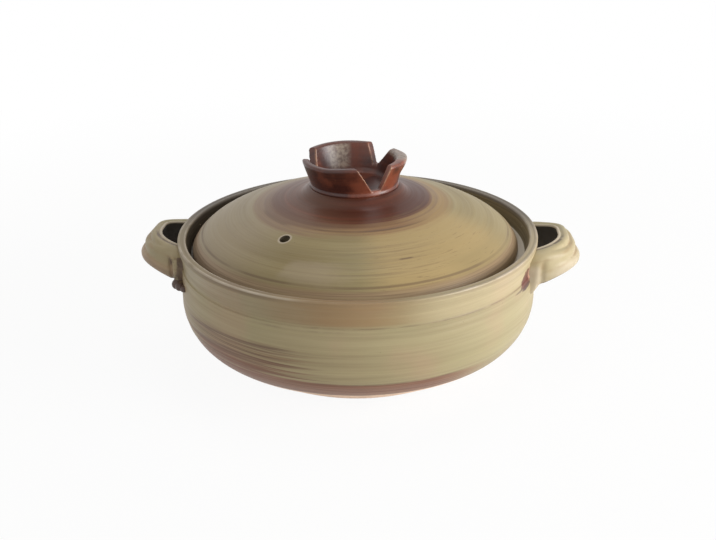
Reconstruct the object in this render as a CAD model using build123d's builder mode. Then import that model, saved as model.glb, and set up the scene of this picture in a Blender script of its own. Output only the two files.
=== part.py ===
"""A low clay cooking pot with two strap handles, and a domed lid with a notched cup knob.

Millimetres. The origin is the centre of the foot, on the table. +Z is up, and the handles lie
along X. The steam hole and the widest notch of the knob face the front, which is -Y.
"""
from build123d import *
from math import cos, radians, sin, tan
import os

os.makedirs("parts", exist_ok=True)

# Rim and collar of the bowl
rim_radius = 127.5
lip_width = 5.6
lip_height = 4.0
lip_round = 1.8
collar_inset = 2.5
collar_height = 18.7
collar_wall = 6.0
throwing_step = 0.7

# Belly and base of the bowl
belly_inset = 1.0
belly_round = 37.2
upper_wall = 44.0
base_rise = 15.0
base_slope_deg = 30.7
wall = 7.0
floor_thickness = 6.0
floor_round = 24.0

# Foot ring of bare clay
foot_height = 2.5
foot_step = 4.0
foot_width = 9.0
foot_recess = 1.5

# Ledge inside the rim, which carries the lid
ledge_drop = 12.0
ledge_width = 10.5
ledge_thickness = 4.5
ledge_round = 1.5

# Lid, a little to the left on its ledge
lid_play = 3.5
lid_shift_share = -0.5
lid_wall = 6.0
lid_seat_width = 6.0
lid_edge = 4.0
lid_edge_round = 1.6
dome_height = 38.3
dome_shares = ((0.92, 0.315), (0.714, 0.627), (0.38, 0.922))
dome_edge_slope_deg = 68.0
dome_crown_slope_deg = 11.0

# Steam hole through the lid
steam_hole_diameter = 7.0
steam_hole_out_share = 0.667
steam_hole_deg = 237.0

# Knob, a flared cup on the crown
knob_neck_radius = 30.3
knob_neck_height = 2.0
knob_base_spread = 1.6
knob_bead = 1.3
knob_bead_rise = 2.4
knob_radius = 36.2
knob_height = 25.7
knob_wall = 5.4
knob_floor = 4.4
knob_floor_round = 5.0
knob_lip_round = 2.2

# Notches that part the knob into petals: direction, half width at the top, turn of the foot
notches_deg = ((55.5, 17.5, 4.0), (171.5, 16.5, 0.0), (298.8, 21.3, 3.5))
# Foot width and depth of each notch, as shares of the largest
notch_foot_shares = (0.5, 0.5, 1.0)
notch_depth_shares = (0.82, 0.95, 1.0)
notch_depth = 18.0
notch_foot = 6.8

# Strap handles, thicker and deeper where they are luted to the wall
handle_sink = 7.0
handle_gap = 23.5
handle_tip_strap = 6.4
handle_root_strap = 9.5
handle_lean = 8.6
handle_ridge = 2.8
handle_tip_drop = 0.5
handle_tip_height = 18.8
handle_root_drop = 6.0
handle_root_height = 30.0
handle_end_deg = 105.0
handle_stations = 9
handle_groove_shares = (0.25, 0.60)
handle_crown_share = 0.7
handle_foot_share = 0.25

overrun = 20.0

# Sizes that follow, bowl
slope = radians(base_slope_deg)
turn_height = foot_height + base_rise
belly_height = turn_height + belly_round * cos(slope)
rim_height = belly_height + upper_wall
belly_radius = rim_radius - belly_inset
turn_radius = belly_radius - belly_round * (1 - sin(slope))
base_radius = turn_radius - base_rise / tan(slope)
foot_radius = base_radius - foot_step
foot_inner_radius = foot_radius - foot_width
collar_radius = rim_radius - collar_inset
step_height = rim_height - collar_height
inner_radius = belly_radius - wall
floor_height = foot_height + floor_thickness
inner_turn_radius = turn_radius - wall * sin(slope)
inner_turn_height = turn_height + wall * cos(slope)
inner_floor_radius = inner_turn_radius - (inner_turn_height - floor_height) / tan(slope)

# Sizes that follow, ledge and lid
ledge_height = rim_height - ledge_drop
ledge_foot = ledge_height - ledge_thickness
ledge_radius = collar_radius - collar_wall
ledge_inner_radius = ledge_radius - ledge_width
under_ledge = ledge_foot - (inner_radius - ledge_inner_radius)
lid_radius = ledge_radius - lid_play
lid_inner_radius = lid_radius - lid_seat_width
lid_shift = lid_play * lid_shift_share
edge_top = ledge_height + lid_edge
crown_height = edge_top + dome_height
crown_under = crown_height - lid_wall

# Sizes that follow, knob
knob_base_radius = knob_neck_radius + knob_base_spread
knob_top = crown_height + knob_height
bead_low = crown_height + knob_neck_height
bead_middle = bead_low + knob_bead_rise
bead_top = bead_middle + knob_bead_rise
flare = (knob_radius - knob_neck_radius) / (knob_top - bead_low)
bead_top_radius = knob_neck_radius + flare * (bead_top - bead_low)
cup_floor = crown_height + knob_floor
cup_radius = knob_neck_radius - knob_wall


def draw_outside():
    """Outer line of the bowl from the foot up to the lip."""
    turn = (turn_radius, turn_height)
    belly = (belly_radius, belly_height)
    step_low = (collar_radius + throwing_step, step_height - throwing_step)
    step_high = (collar_radius, step_height)
    Line((foot_radius, foot_height), (base_radius, foot_height))
    Line((base_radius, foot_height), turn)
    TangentArc(turn, belly, tangent=(cos(slope), sin(slope)))
    TangentArc(belly, step_low, tangent=(0, 1))
    Line(step_low, step_high)
    TangentArc(step_high, (rim_radius, rim_height - lip_height), tangent=(0, 1))


# Bowl: foot ring, belly, collar, lip and the ledge for the lid
with BuildPart() as pot_bowl:
    with BuildSketch(Plane.XZ):
        with BuildLine():
            draw_outside()
            FilletPolyline(
                (rim_radius, rim_height - lip_height),
                (rim_radius, rim_height),
                (rim_radius - lip_width, rim_height),
                (ledge_radius, ledge_height),
                (ledge_inner_radius, ledge_height),
                (ledge_inner_radius, ledge_foot),
                (inner_radius, under_ledge),
                radius=[lip_round, lip_round, ledge_round, ledge_round, ledge_round],
            )
            Line((inner_radius, under_ledge), (inner_radius, belly_height))
            TangentArc((inner_radius, belly_height), (inner_turn_radius, inner_turn_height), tangent=(0, -1))
            FilletPolyline(
                (inner_turn_radius, inner_turn_height),
                (inner_floor_radius, floor_height),
                (0, floor_height),
                radius=floor_round,
            )
            Polyline(
                (0, floor_height),
                (0, foot_recess),
                (foot_inner_radius, foot_recess),
                (foot_inner_radius, 0),
                (foot_radius, 0),
                (foot_radius, foot_height),
            )
        make_face()
    revolve(axis=Axis.Z)
pot_bowl.part.label = "pot_bowl"
export_step(pot_bowl.part, "parts/pot_bowl.step")

# Space that the bowl takes up from outside, which the handles are cut back to
with BuildPart() as bowl_envelope:
    with BuildSketch(Plane.XZ):
        with BuildLine():
            draw_outside()
            Polyline(
                (rim_radius, rim_height - lip_height),
                (rim_radius, rim_height),
                (0, rim_height),
                (0, foot_height),
                (foot_radius, foot_height),
            )
        make_face()
    revolve(axis=Axis.Z)


def ease(tip, root, share):
    """A size that changes slowly near the tip of a handle and faster towards its root."""
    return tip + (root - tip) * share**2


def handle_section(angle_deg):
    """Outline of the strap at one station: three ridges that step outwards as they go down."""
    share = abs(angle_deg) / handle_end_deg
    top = rim_height - ease(handle_tip_drop, handle_root_drop, share)
    height = ease(handle_tip_height, handle_root_height, share)
    strap = ease(handle_tip_strap, handle_root_strap, share)
    lean = ease(handle_lean, 0, share)
    angle = radians(angle_deg)
    plane = Plane(
        origin=(collar_radius - handle_sink, 0, 0),
        x_dir=(cos(angle), sin(angle), 0),
        z_dir=(sin(angle), -cos(angle), 0),
    )

    def point(out_share, down_share, proud=0):
        out = handle_gap + strap * out_share + lean * down_share + proud
        return (out, top - height * down_share)

    first, second = handle_groove_shares
    first_groove = point(1, first)
    second_groove = point(1, second)
    outer_foot = point(1, 1)
    inner_foot = point(handle_foot_share, 1)
    with BuildSketch(plane) as section:
        with BuildLine():
            ThreePointArc(point(0, 0), point(handle_crown_share, 0), first_groove)
            ThreePointArc(first_groove, point(1, (first + second) / 2, handle_ridge), second_groove)
            ThreePointArc(second_groove, point(1, (second + 1) / 2, handle_ridge), outer_foot)
            Line(outer_foot, inner_foot)
            Line(inner_foot, point(0, 0))
        make_face()
    return section.sketch


def handle_angles():
    """Directions of the stations round one handle, from root to root."""
    step = 2 * handle_end_deg / (handle_stations - 1)
    return [step * n - handle_end_deg for n in range(handle_stations)]


# Handles: pulled straps luted to the outside of the bowl
with BuildPart() as handle_right:
    loft([handle_section(angle) for angle in handle_angles()])
    add(bowl_envelope.part, mode=Mode.SUBTRACT)
handle_right.part.label = "handle_right"
export_step(handle_right.part, "parts/handle_right.step")

with BuildPart() as handle_left:
    add(mirror(handle_right.part, about=Plane.YZ, mode=Mode.PRIVATE))
handle_left.part.label = "handle_left"
export_step(handle_left.part, "parts/handle_left.step")

# Lid: a dome with a flat edge that sits on the ledge, and a flat crown for the knob
lid_plane = Plane(origin=(lid_shift, 0, 0), x_dir=(1, 0, 0), z_dir=(0, -1, 0))
lid_axis = Axis((lid_shift, 0, 0), (0, 0, 1))
edge_slope = radians(dome_edge_slope_deg)
crown_slope = radians(dome_crown_slope_deg)
dome_tangents = ((-cos(edge_slope), sin(edge_slope)), (-cos(crown_slope), sin(crown_slope)))
steam_reach = lid_radius * steam_hole_out_share
steam_angle = radians(steam_hole_deg)
steam_x = lid_shift + steam_reach * cos(steam_angle)
steam_y = steam_reach * sin(steam_angle)


def dome_points(foot_out, foot_up, crown_up):
    """Points of a dome line from its foot up to the edge of the flat crown."""
    rise = crown_up - foot_up
    middle = [(foot_out * out, foot_up + rise * up) for out, up in dome_shares]
    return [(foot_out, foot_up), *middle, (knob_base_radius, crown_up)]


with BuildPart() as lid_dome:
    with BuildSketch(lid_plane):
        with BuildLine():
            FilletPolyline(
                (lid_inner_radius, ledge_height),
                (lid_radius, ledge_height),
                (lid_radius, edge_top),
                radius=lid_edge_round,
            )
            Spline(dome_points(lid_radius, edge_top, crown_height), tangents=dome_tangents)
            Polyline(
                (knob_base_radius, crown_height),
                (0, crown_height),
                (0, crown_under),
                (knob_base_radius, crown_under),
            )
            Spline(dome_points(lid_inner_radius, ledge_height, crown_under), tangents=dome_tangents)
        make_face()
    revolve(axis=lid_axis)
    with Locations((steam_x, steam_y, crown_height)):
        Hole(radius=steam_hole_diameter / 2)
lid_dome.part.label = "lid_dome"
export_step(lid_dome.part, "parts/lid_dome.step")


def notch_outline(half_deg, foot_turn_deg, foot_width, depth):
    """A V with a flat foot, drawn past the top of the knob."""
    half_foot = foot_width / 2
    foot_shift = knob_radius * sin(radians(foot_turn_deg))
    spread = knob_radius * sin(radians(half_deg)) - half_foot
    past = (depth + overrun) / depth
    open_shift = foot_shift * (1 - past)
    open_half = half_foot + spread * past
    low = knob_top - depth
    Polyline(
        (foot_shift - half_foot, low),
        (foot_shift + half_foot, low),
        (open_shift + open_half, knob_top + overrun),
        (open_shift - open_half, knob_top + overrun),
        close=True,
    )


# Knob: base, neck with a bead, flared wall and a cup inside, then the notches
with BuildPart() as lid_knob:
    with BuildSketch(lid_plane):
        with BuildLine():
            Line((0, crown_height), (knob_base_radius, crown_height))
            TangentArc((knob_neck_radius, bead_low), (knob_base_radius, crown_height), tangent=(0, -1))
            ThreePointArc(
                (knob_neck_radius, bead_low),
                (knob_neck_radius + knob_bead, bead_middle),
                (bead_top_radius, bead_top),
            )
            FilletPolyline(
                (bead_top_radius, bead_top),
                (knob_radius, knob_top),
                (knob_radius - knob_wall, knob_top),
                (cup_radius, cup_floor),
                (0, cup_floor),
                radius=[knob_lip_round, knob_lip_round, knob_floor_round],
            )
            Line((0, cup_floor), (0, crown_height))
        make_face()
    revolve(axis=lid_axis)
    for angles, foot_share, depth_share in zip(notches_deg, notch_foot_shares, notch_depth_shares):
        direction_deg, half_deg, foot_turn_deg = angles
        direction = radians(direction_deg)
        notch_plane = Plane(
            origin=(lid_shift, 0, 0),
            x_dir=(-sin(direction), cos(direction), 0),
            z_dir=(cos(direction), sin(direction), 0),
        )
        with BuildSketch(notch_plane):
            with BuildLine():
                notch_outline(
                    half_deg,
                    foot_turn_deg,
                    notch_foot * foot_share,
                    notch_depth * depth_share,
                )
            make_face()
        extrude(amount=knob_radius + overrun, mode=Mode.SUBTRACT)
lid_knob.part.label = "lid_knob"
export_step(lid_knob.part, "parts/lid_knob.step")
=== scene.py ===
"""Looks of a low clay cooking pot: thrown bowl, two pulled strap handles, domed lid, notched knob.

Lengths are in metres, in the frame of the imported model. The front is -Y, and +Z is up.
"""
from math import atan2, cos, degrees, exp, hypot, pi, radians, sin, tan

import bpy
from bpy.props import FloatProperty, FloatVectorProperty, PointerProperty
from bpy.types import Operator, Panel, PropertyGroup
from mathutils import Matrix, Vector, noise


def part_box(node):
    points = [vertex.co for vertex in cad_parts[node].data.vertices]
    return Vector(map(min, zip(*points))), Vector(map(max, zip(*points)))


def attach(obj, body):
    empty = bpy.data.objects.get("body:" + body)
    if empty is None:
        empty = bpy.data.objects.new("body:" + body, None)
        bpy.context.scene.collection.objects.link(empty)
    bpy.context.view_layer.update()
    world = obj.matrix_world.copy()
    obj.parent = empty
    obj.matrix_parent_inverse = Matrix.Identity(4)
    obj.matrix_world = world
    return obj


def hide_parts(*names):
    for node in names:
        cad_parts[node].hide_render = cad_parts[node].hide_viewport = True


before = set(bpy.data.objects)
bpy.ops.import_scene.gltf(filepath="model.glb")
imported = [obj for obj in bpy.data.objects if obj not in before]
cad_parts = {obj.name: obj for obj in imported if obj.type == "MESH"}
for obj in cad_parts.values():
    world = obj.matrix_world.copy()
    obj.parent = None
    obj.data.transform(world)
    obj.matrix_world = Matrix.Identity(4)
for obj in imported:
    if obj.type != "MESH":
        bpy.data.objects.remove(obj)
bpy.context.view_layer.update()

bl_info = {
    "name": "Clay cooking pot",
    "version": (1, 0, 0),
    "blender": (4, 5, 0),
    "location": "View3D > Sidebar > Clay pot",
    "description": "Throws a lidded clay pot with strap handles and glazes it",
    "category": "Object",
}

bowl_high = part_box("pot_bowl")[1]
lid_low, lid_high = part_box("lid_dome")
knob_low, knob_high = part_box("lid_knob")

mm = 0.001
weld = 0.001 * mm
wheel_steps = 200


def paint(red, green, blue):
    """A colour from its usual 0 to 255 values, as the shader wants it."""
    return tuple(((c / 255 + 0.055) / 1.055) ** 2.4 for c in (red, green, blue))


def length(name, text, default):
    """A length that a user can change."""
    return FloatProperty(name=name, description=text, default=default, min=0.0, precision=4, unit="LENGTH")


def turn(name, text, default):
    """An angle that a user can change."""
    return FloatProperty(name=name, description=text, default=radians(default), subtype="ANGLE")


def share(name, text, default):
    """A strength from 0 to 1 that a user can change."""
    return FloatProperty(name=name, description=text, default=default, min=0.0, max=1.0, subtype="FACTOR")


def tint(name, text, default):
    """A glaze colour that a user can change."""
    return FloatVectorProperty(
        name=name, description=text, default=default, size=3, min=0.0, max=1.0, subtype="COLOR"
    )


class BowlSizes(PropertyGroup):
    """Sizes of the bowl."""

    rim_radius: length("Rim radius", "Outside of the lip", min(bowl_high.x, bowl_high.y))
    rim_height: length("Rim height", "Table to the top of the lip", bowl_high.z)
    lip_width: length("Lip width", "Flat top of the lip", 5.6 * mm)
    lip_height: length("Lip height", "Outer face of the lip", 4.0 * mm)
    lip_round: length("Lip rounding", "Rounded edges of the lip", 1.8 * mm)
    lip_hollow: length("Lip hollow", "Depth of the groove pressed along the lip", 0.5 * mm)
    collar_inset: length("Collar inset", "Lip overhang over the collar", 2.5 * mm)
    collar_height: length("Collar height", "Lip down to the throwing ring", 18.7 * mm)
    ring_step: length("Throwing ring", "Step between collar and belly", 0.7 * mm)
    belly_inset: length("Belly inset", "Lip overhang over the belly", 1.0 * mm)
    belly_round: length("Belly rounding", "Radius of the turn into the base", 37.2 * mm)
    base_rise: length("Base rise", "Height of the straight base slope", 15.0 * mm)
    base_slope: turn("Base slope", "Slope of the base over the table", 30.7)
    wall: length("Wall", "Thickness of the wall", 7.0 * mm)
    floor: length("Floor", "Thickness of the floor", 6.0 * mm)
    floor_round: length("Floor rounding", "Inner turn from floor to wall", 24.0 * mm)
    foot_height: length("Foot height", "Bare foot ring", 2.5 * mm)
    foot_step: length("Foot step", "Base overhang over the foot ring", 4.0 * mm)
    foot_width: length("Foot width", "Width of the foot ring", 9.0 * mm)
    foot_recess: length("Foot recess", "Hollow inside the foot ring", 1.5 * mm)
    ledge_drop: length("Ledge drop", "Lip down to the ledge of the lid", 12.0 * mm)
    ledge_width: length("Ledge width", "Width of the ledge", 10.5 * mm)
    ledge_thickness: length("Ledge thickness", "Thickness of the ledge", 4.5 * mm)
    collar_wall: length("Collar wall", "Thickness of the collar", 6.0 * mm)
    press_pitch: length("Ring pitch", "Distance between finger rings", 5.2 * mm)
    press_depth: length("Ring depth", "Depth of the finger rings", 0.22 * mm)


class HandleSizes(PropertyGroup):
    """Sizes of the strap handles."""

    sink: length("Sink", "Centre of the strap's turn inside the collar", 7.0 * mm)
    gap: length("Finger gap", "Radius of the opening", 23.5 * mm)
    tip_strap: length("Strap at the tip", "Thickness at the tip", 6.4 * mm)
    root_strap: length("Strap at the root", "Thickness at the root", 9.5 * mm)
    lean: length("Lean", "How far the ridges step outwards at the tip", 8.6 * mm)
    ridge: length("Ridge", "How far the lowest ridge stands out at the tip", 1.1 * mm)
    left_inset: length("Left inset", "How much smaller the left opening is", 1.0 * mm)
    left_drop: length("Left drop", "How much lower the left tip lies", 0.5 * mm)
    left_root_drop: length("Left root drop", "How much lower the left roots lie", 1.5 * mm)
    ring: length("Ring", "Thin round edge along the opening", 2.0 * mm)
    tip_drop: length("Tip drop", "Rim down to the top edge at the tip", 0.4 * mm)
    tip_height: length("Tip height", "Height of the strap at the tip", 18.8 * mm)
    root_drop: length("Root drop", "Rim down to the top edge at the root", 6.0 * mm)
    root_height: length("Root height", "Height of the strap at the root", 30.0 * mm)
    bulge: length("Bulge", "How far the back half of the opening is squared out", 3.4 * mm)
    fold: length("Fold", "Depth of the fold beside the right roots", 1.0 * mm)
    coil_fold: length("Coil fold", "Depth of the fold beside the left roots", 1.8 * mm)
    flange: length("Flange", "How far the right roots are drawn down the wall", 4.5 * mm)
    crease: length("Crease", "Depth of the crease pressed along the wall", 0.7 * mm)
    clay_grain: length("Clay grain", "Fineness of the modelled clay", 0.45 * mm)


class LidSizes(PropertyGroup):
    """Sizes of the lid."""

    radius: length("Radius", "Outside of the lid", (lid_high.x - lid_low.x) / 2)
    wall: length("Wall", "Thickness of the dome", 6.0 * mm)
    seat: length("Seat", "Width of the bare seat", 6.0 * mm)
    edge: length("Edge", "Upright edge", 4.0 * mm)
    fillet_rise: length("Fillet rise", "Clay drawn up to the bead of the knob", 4.0 * mm)
    fillet_reach: length("Fillet reach", "How far that clay spreads over the crown", 10.0 * mm)
    groove: length("Groove", "Depth of the ring turned near the edge", 0.3 * mm)
    groove_radius: length("Groove radius", "Radius of that ring", 108.2 * mm)
    steam_hole: length("Steam hole", "Diameter of the steam hole", 7.0 * mm)
    steam_reach: length("Steam hole reach", "Steam hole from the middle", 77.04 * mm)
    steam_turn: turn("Steam hole direction", "Direction of the steam hole", 237.0)
    press_pitch: length("Ring pitch", "Distance between finger rings", 6.4 * mm)
    press_depth: length("Ring depth", "Depth of the finger rings", 0.16 * mm)


class KnobSizes(PropertyGroup):
    """Sizes of the knob."""

    skirt_radius: length("Skirt radius", "Where the knob meets the lid", 31.5 * mm)
    neck_radius: length("Neck radius", "Narrowest part", 30.3 * mm)
    neck_height: length("Neck height", "Lid to the bead", 2.0 * mm)
    bead: length("Bead", "How far the bead stands out", 1.3 * mm)
    bead_rise: length("Bead rise", "Half the height of the bead", 2.4 * mm)
    radius: length("Radius", "Outside of the rim", 36.2 * mm)
    wall: length("Wall", "Thickness of the petals", 5.4 * mm)
    floor: length("Floor", "Thickness of the cup's floor", 4.4 * mm)
    notch_depth: length("Notch depth", "Rim down to the foot of the notches", 18.0 * mm)
    notch_foot: length("Notch foot", "Width of the widest notch at its foot", 6.8 * mm)
    clay_grain: length("Clay grain", "Fineness of the modelled clay", 0.5 * mm)


class Glazes(PropertyGroup):
    """Colours of the glazes and of the bare clay, and of the painted light and shade."""

    olive: tint("Olive", "Ash glaze where it lies thick", paint(163, 149, 112))
    olive_light: tint("Light olive", "Ash glaze on the ridges", paint(177, 162, 125))
    olive_dark: tint("Dark olive", "Ash glaze in the grooves", paint(146, 131, 97))
    green: tint("Green", "Ash glaze where it has pooled", paint(150, 146, 108))
    ochre: tint("Ochre", "Ash glaze over iron", paint(146, 108, 66))
    straw: tint("Straw", "Thin ash glaze on the right of the lid", paint(170, 146, 100))
    # Painted light: a pale colour laid on the right of the bowl, where the key lamp falls
    painted_light_cream: tint("Cream", "Thin pale glaze on the right of the bowl", paint(204, 186, 150))
    # Painted shade: darker copies of the olive for the lid, which gets less light than the side of the bowl
    shaded_moss: tint("Moss", "Ash glaze on the lid", paint(149, 133, 94))
    shaded_moss_dark: tint("Dark moss", "Ash glaze in the grooves of the lid", paint(133, 117, 80))
    blush: tint("Blush", "Thin glaze that shows the warm clay", paint(178, 138, 116))
    # Pale glaze, and also painted sheen on the left of the lid and of its crown
    pale_glaze_and_sheen: tint("Mist", "Thick pale glaze", paint(176, 160, 140))
    streak: tint("Streak", "Iron that shows through in streaks", paint(100, 78, 60))
    wash: tint("Wash", "Iron wash above the foot", paint(122, 80, 59))
    # Iron wash, and also painted sheen on the left of the crown
    wash_cool: tint("Cool wash", "Iron wash where it lies thin", paint(143, 105, 83))
    iron: tint("Iron", "Iron glaze on the knob and the crown", paint(62, 25, 17))
    iron_thin: tint("Thin iron", "Iron glaze where it is thin", paint(132, 68, 44))
    iron_break: tint("Break", "Cut edges where the glaze runs off", paint(214, 166, 134))
    umber: tint("Umber", "Iron pooled at the roots of the handles", paint(74, 52, 43))
    pool: tint("Pool", "Red iron on the wall beside the roots", paint(94, 49, 40))
    clay: tint("Clay", "Bare clay", paint(251, 223, 199))
    # Painted shade over the back of the lip
    painted_lip_shade: tint("Smoke", "Smoked glaze on the back of the lip", paint(84, 76, 69))
    crown: tint("Crown", "Iron glaze on the lid round the knob", paint(66, 22, 14))
    # Thin glaze on edges, and also painted highlight on the lip's edges, inside the knob's cup and on its
    # right petal, and painted light on the right handle's roots
    ring: tint("Ring", "Thin glaze on sharp edges", paint(198, 184, 164))
    shelf: tint("Shelf", "Bare ledge that carries the lid", paint(192, 180, 160))
    inner: tint("Inner glaze", "Glaze inside the bowl and the lid", paint(94, 82, 58))
    # Dark iron inside the handles with painted shade there, and painted shade in the steam hole and inside
    # the collar on the left
    shade_and_iron_black: tint("Black", "Thick iron inside the handles", paint(22, 13, 10))


class StageSettings(PropertyGroup):
    """Camera and lamps."""

    camera_turn: turn("Camera turn", "Direction of the camera round the pot", 4.0)
    camera_reach: length("Camera reach", "Camera from the pot's axis", 0.8)
    camera_height: length("Camera height", "Camera above the table", 0.39983)
    camera_dip: turn("Camera dip", "How far the camera looks down", 22.887)
    camera_roll: turn("Camera roll", "Roll of the camera", -0.7016)
    focal_length: FloatProperty(
        name="Focal length", description="In millimetres on a 36 mm sensor", default=60.366
    )
    ambient: FloatProperty(name="Ambient", description="Strength of the surrounding light", default=0.47)
    key_power: FloatProperty(name="Key", description="Power of the large lamp", default=21.5, unit="POWER")
    fill_power: FloatProperty(name="Fill", description="Power of the weak lamp", default=2.0, unit="POWER")
    top_power: FloatProperty(name="Top", description="Power of the lamp overhead", default=2.0, unit="POWER")


class ClayPot(PropertyGroup):
    """All settings of the clay pot."""

    bowl: PointerProperty(type=BowlSizes)
    handle: PointerProperty(type=HandleSizes)
    lid: PointerProperty(type=LidSizes)
    knob: PointerProperty(type=KnobSizes)
    glaze: PointerProperty(type=Glazes)
    stage: PointerProperty(type=StageSettings)


# Profiles, as lists of radius and height


def rounded(corners, steps=6):
    """A line through corners, each with the radius that it is rounded to."""
    line = []
    for index, (point, radius) in enumerate(corners):
        here = Vector(point)
        if not radius:
            line.append(here)
            continue
        back = Vector(corners[index - 1][0]) - here
        ahead = Vector(corners[index + 1][0]) - here
        reach = radius * tan((pi - back.angle(ahead)) / 2)
        reach = min(reach, 0.49 * back.length, 0.49 * ahead.length)
        start = here + back.normalized() * reach
        end = here + ahead.normalized() * reach
        for step in range(steps + 1):
            at = step / steps
            line.append(start * (1 - at) ** 2 + here * 2 * at * (1 - at) + end * at**2)
    return line


def dense(line, gap):
    """The same line with no two neighbours further apart than gap."""
    points = [Vector(line[0])]
    for start, end in zip(line, line[1:]):
        pieces = max(1, round((end - start).length / gap))
        points += [start.lerp(end, n / pieces) for n in range(1, pieces + 1)]
    return points


def arc(centre, radius, start, end, steps):
    """Corners along an arc, with no rounding of their own."""
    turns = [start + (end - start) * n / steps for n in range(steps + 1)]
    return [((centre[0] + radius * cos(a), centre[1] + radius * sin(a)), 0) for a in turns]


def eased(start, end, steps):
    """Corners within a wall that leaves its start upright and bends slowly towards its end."""
    (radius, height), (end_radius, end_height) = start, end
    shares = [n / steps for n in range(1, steps)]
    return [((radius + (end_radius - radius) * t**2, height + (end_height - height) * t), 0) for t in shares]


def bowl_line(size):
    """The bowl's profile, from the middle of the underside round the lip to the middle of the floor."""
    slope = size.base_slope
    turn_height = size.foot_height + size.base_rise
    belly_height = turn_height + size.belly_round * cos(slope)
    belly_radius = size.rim_radius - size.belly_inset
    belly_middle = (belly_radius - size.belly_round, belly_height)
    turn_radius = belly_middle[0] + size.belly_round * sin(slope)
    base_radius = turn_radius - size.base_rise / tan(slope)
    foot_radius = base_radius - size.foot_step
    foot_inner = foot_radius - size.foot_width
    collar_radius = size.rim_radius - size.collar_inset
    ring_height = size.rim_height - size.collar_height
    ring_low = (collar_radius + size.ring_step, ring_height - size.ring_step)
    ring_top = (collar_radius, ring_height)
    lip_foot = (size.rim_radius, size.rim_height - size.lip_height)
    lip_inner = size.rim_radius - size.lip_width
    lip_middle = size.rim_radius - size.lip_width / 2
    ledge_height = size.rim_height - size.ledge_drop
    ledge_radius = collar_radius - size.collar_wall
    ledge_inner = ledge_radius - size.ledge_width
    ledge_foot = ledge_height - size.ledge_thickness
    inner_radius = belly_radius - size.wall
    under_ledge = ledge_foot - (inner_radius - ledge_inner)
    floor_height = size.foot_height + size.floor
    inner_turn = size.belly_round - size.wall
    inner_low = (belly_middle[0] + inner_turn * sin(slope), belly_height - inner_turn * cos(slope))
    floor_radius = inner_low[0] - (inner_low[1] - floor_height) / tan(slope)
    corners = [
        ((0, size.foot_recess), 0),
        ((foot_inner, size.foot_recess), 0.7 * mm),
        ((foot_inner, 0), 1.0 * mm),
        ((foot_radius, 0), 1.0 * mm),
        ((foot_radius, size.foot_height), 0.7 * mm),
        ((base_radius, size.foot_height), 1.4 * mm),
        *arc(belly_middle, size.belly_round, slope - pi / 2, 0, 26),
        *eased((belly_radius, belly_height), ring_low, 16),
        (ring_low, 0.5 * mm),
        (ring_top, 0.6 * mm),
        *eased(ring_top, lip_foot, 14),
        (lip_foot, 3.0 * mm),
        ((size.rim_radius, size.rim_height), size.lip_round),
        ((lip_middle, size.rim_height - size.lip_hollow), 0.9 * mm),
        ((lip_inner, size.rim_height), size.lip_round),
        ((ledge_radius, ledge_height), 1.5 * mm),
        ((ledge_inner, ledge_height), 1.5 * mm),
        ((ledge_inner, ledge_foot), 1.5 * mm),
        ((inner_radius, under_ledge), 4.0 * mm),
        *arc(belly_middle, inner_turn, 0, slope - pi / 2, 20),
        ((floor_radius, floor_height), size.floor_round),
        ((0, floor_height), 0),
    ]
    return dense(rounded(corners), 1.5 * mm)


def dome_curve(start, end, foot_slope, foot_pull, crown_slope, crown_pull):
    """The dome's swell between two points, steep at its foot and nearly flat at the crown."""
    low, high = Vector(start), Vector(end)
    low_hand = low + Vector((-cos(foot_slope), sin(foot_slope))) * foot_pull
    high_hand = high + Vector((cos(crown_slope), -sin(crown_slope))) * crown_pull
    steps = 60
    points = []
    for step in range(steps + 1):
        t = step / steps
        low_part = low * (1 - t) ** 3 + low_hand * 3 * t * (1 - t) ** 2
        points.append(low_part + high_hand * 3 * t**2 * (1 - t) + high * t**3)
    return points


def lid_line(size, knob_radius):
    """The lid's profile, from the middle of the crown over the edge to the middle underneath."""
    seat_height, crown = lid_low.z, lid_high.z
    edge = (size.radius, seat_height + size.edge)
    inner_edge = (size.radius - size.seat, seat_height)
    # Slope and pull of each swell, at its foot and at the crown
    outer_swell = (radians(72.9), 19.56 * mm, radians(13.4), 37.92 * mm)
    inner_swell = (radians(72.0), 19.0 * mm, radians(12.0), 36.0 * mm)
    outside = dome_curve(edge, (knob_radius, crown), *outer_swell)
    inside = dome_curve(inner_edge, (knob_radius, crown - size.wall), *inner_swell)
    fillet = []
    for point in reversed(outside):
        rise = size.fillet_rise * fall(point.x, knob_radius, knob_radius + size.fillet_reach) ** 2
        fillet.append(((point.x, point.y + rise), 0))
    corners = [
        ((0, crown), 0),
        ((knob_radius - 1.2 * mm, crown), 0),
        *fillet[:-1],
        (edge, 2.4 * mm),
        ((size.radius, seat_height), 1.6 * mm),
        (inner_edge, 0.8 * mm),
        *[(tuple(point), 0) for point in inside[1:]],
        ((0, crown - size.wall), 0),
    ]
    return dense(rounded(corners), 1.5 * mm)


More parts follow.
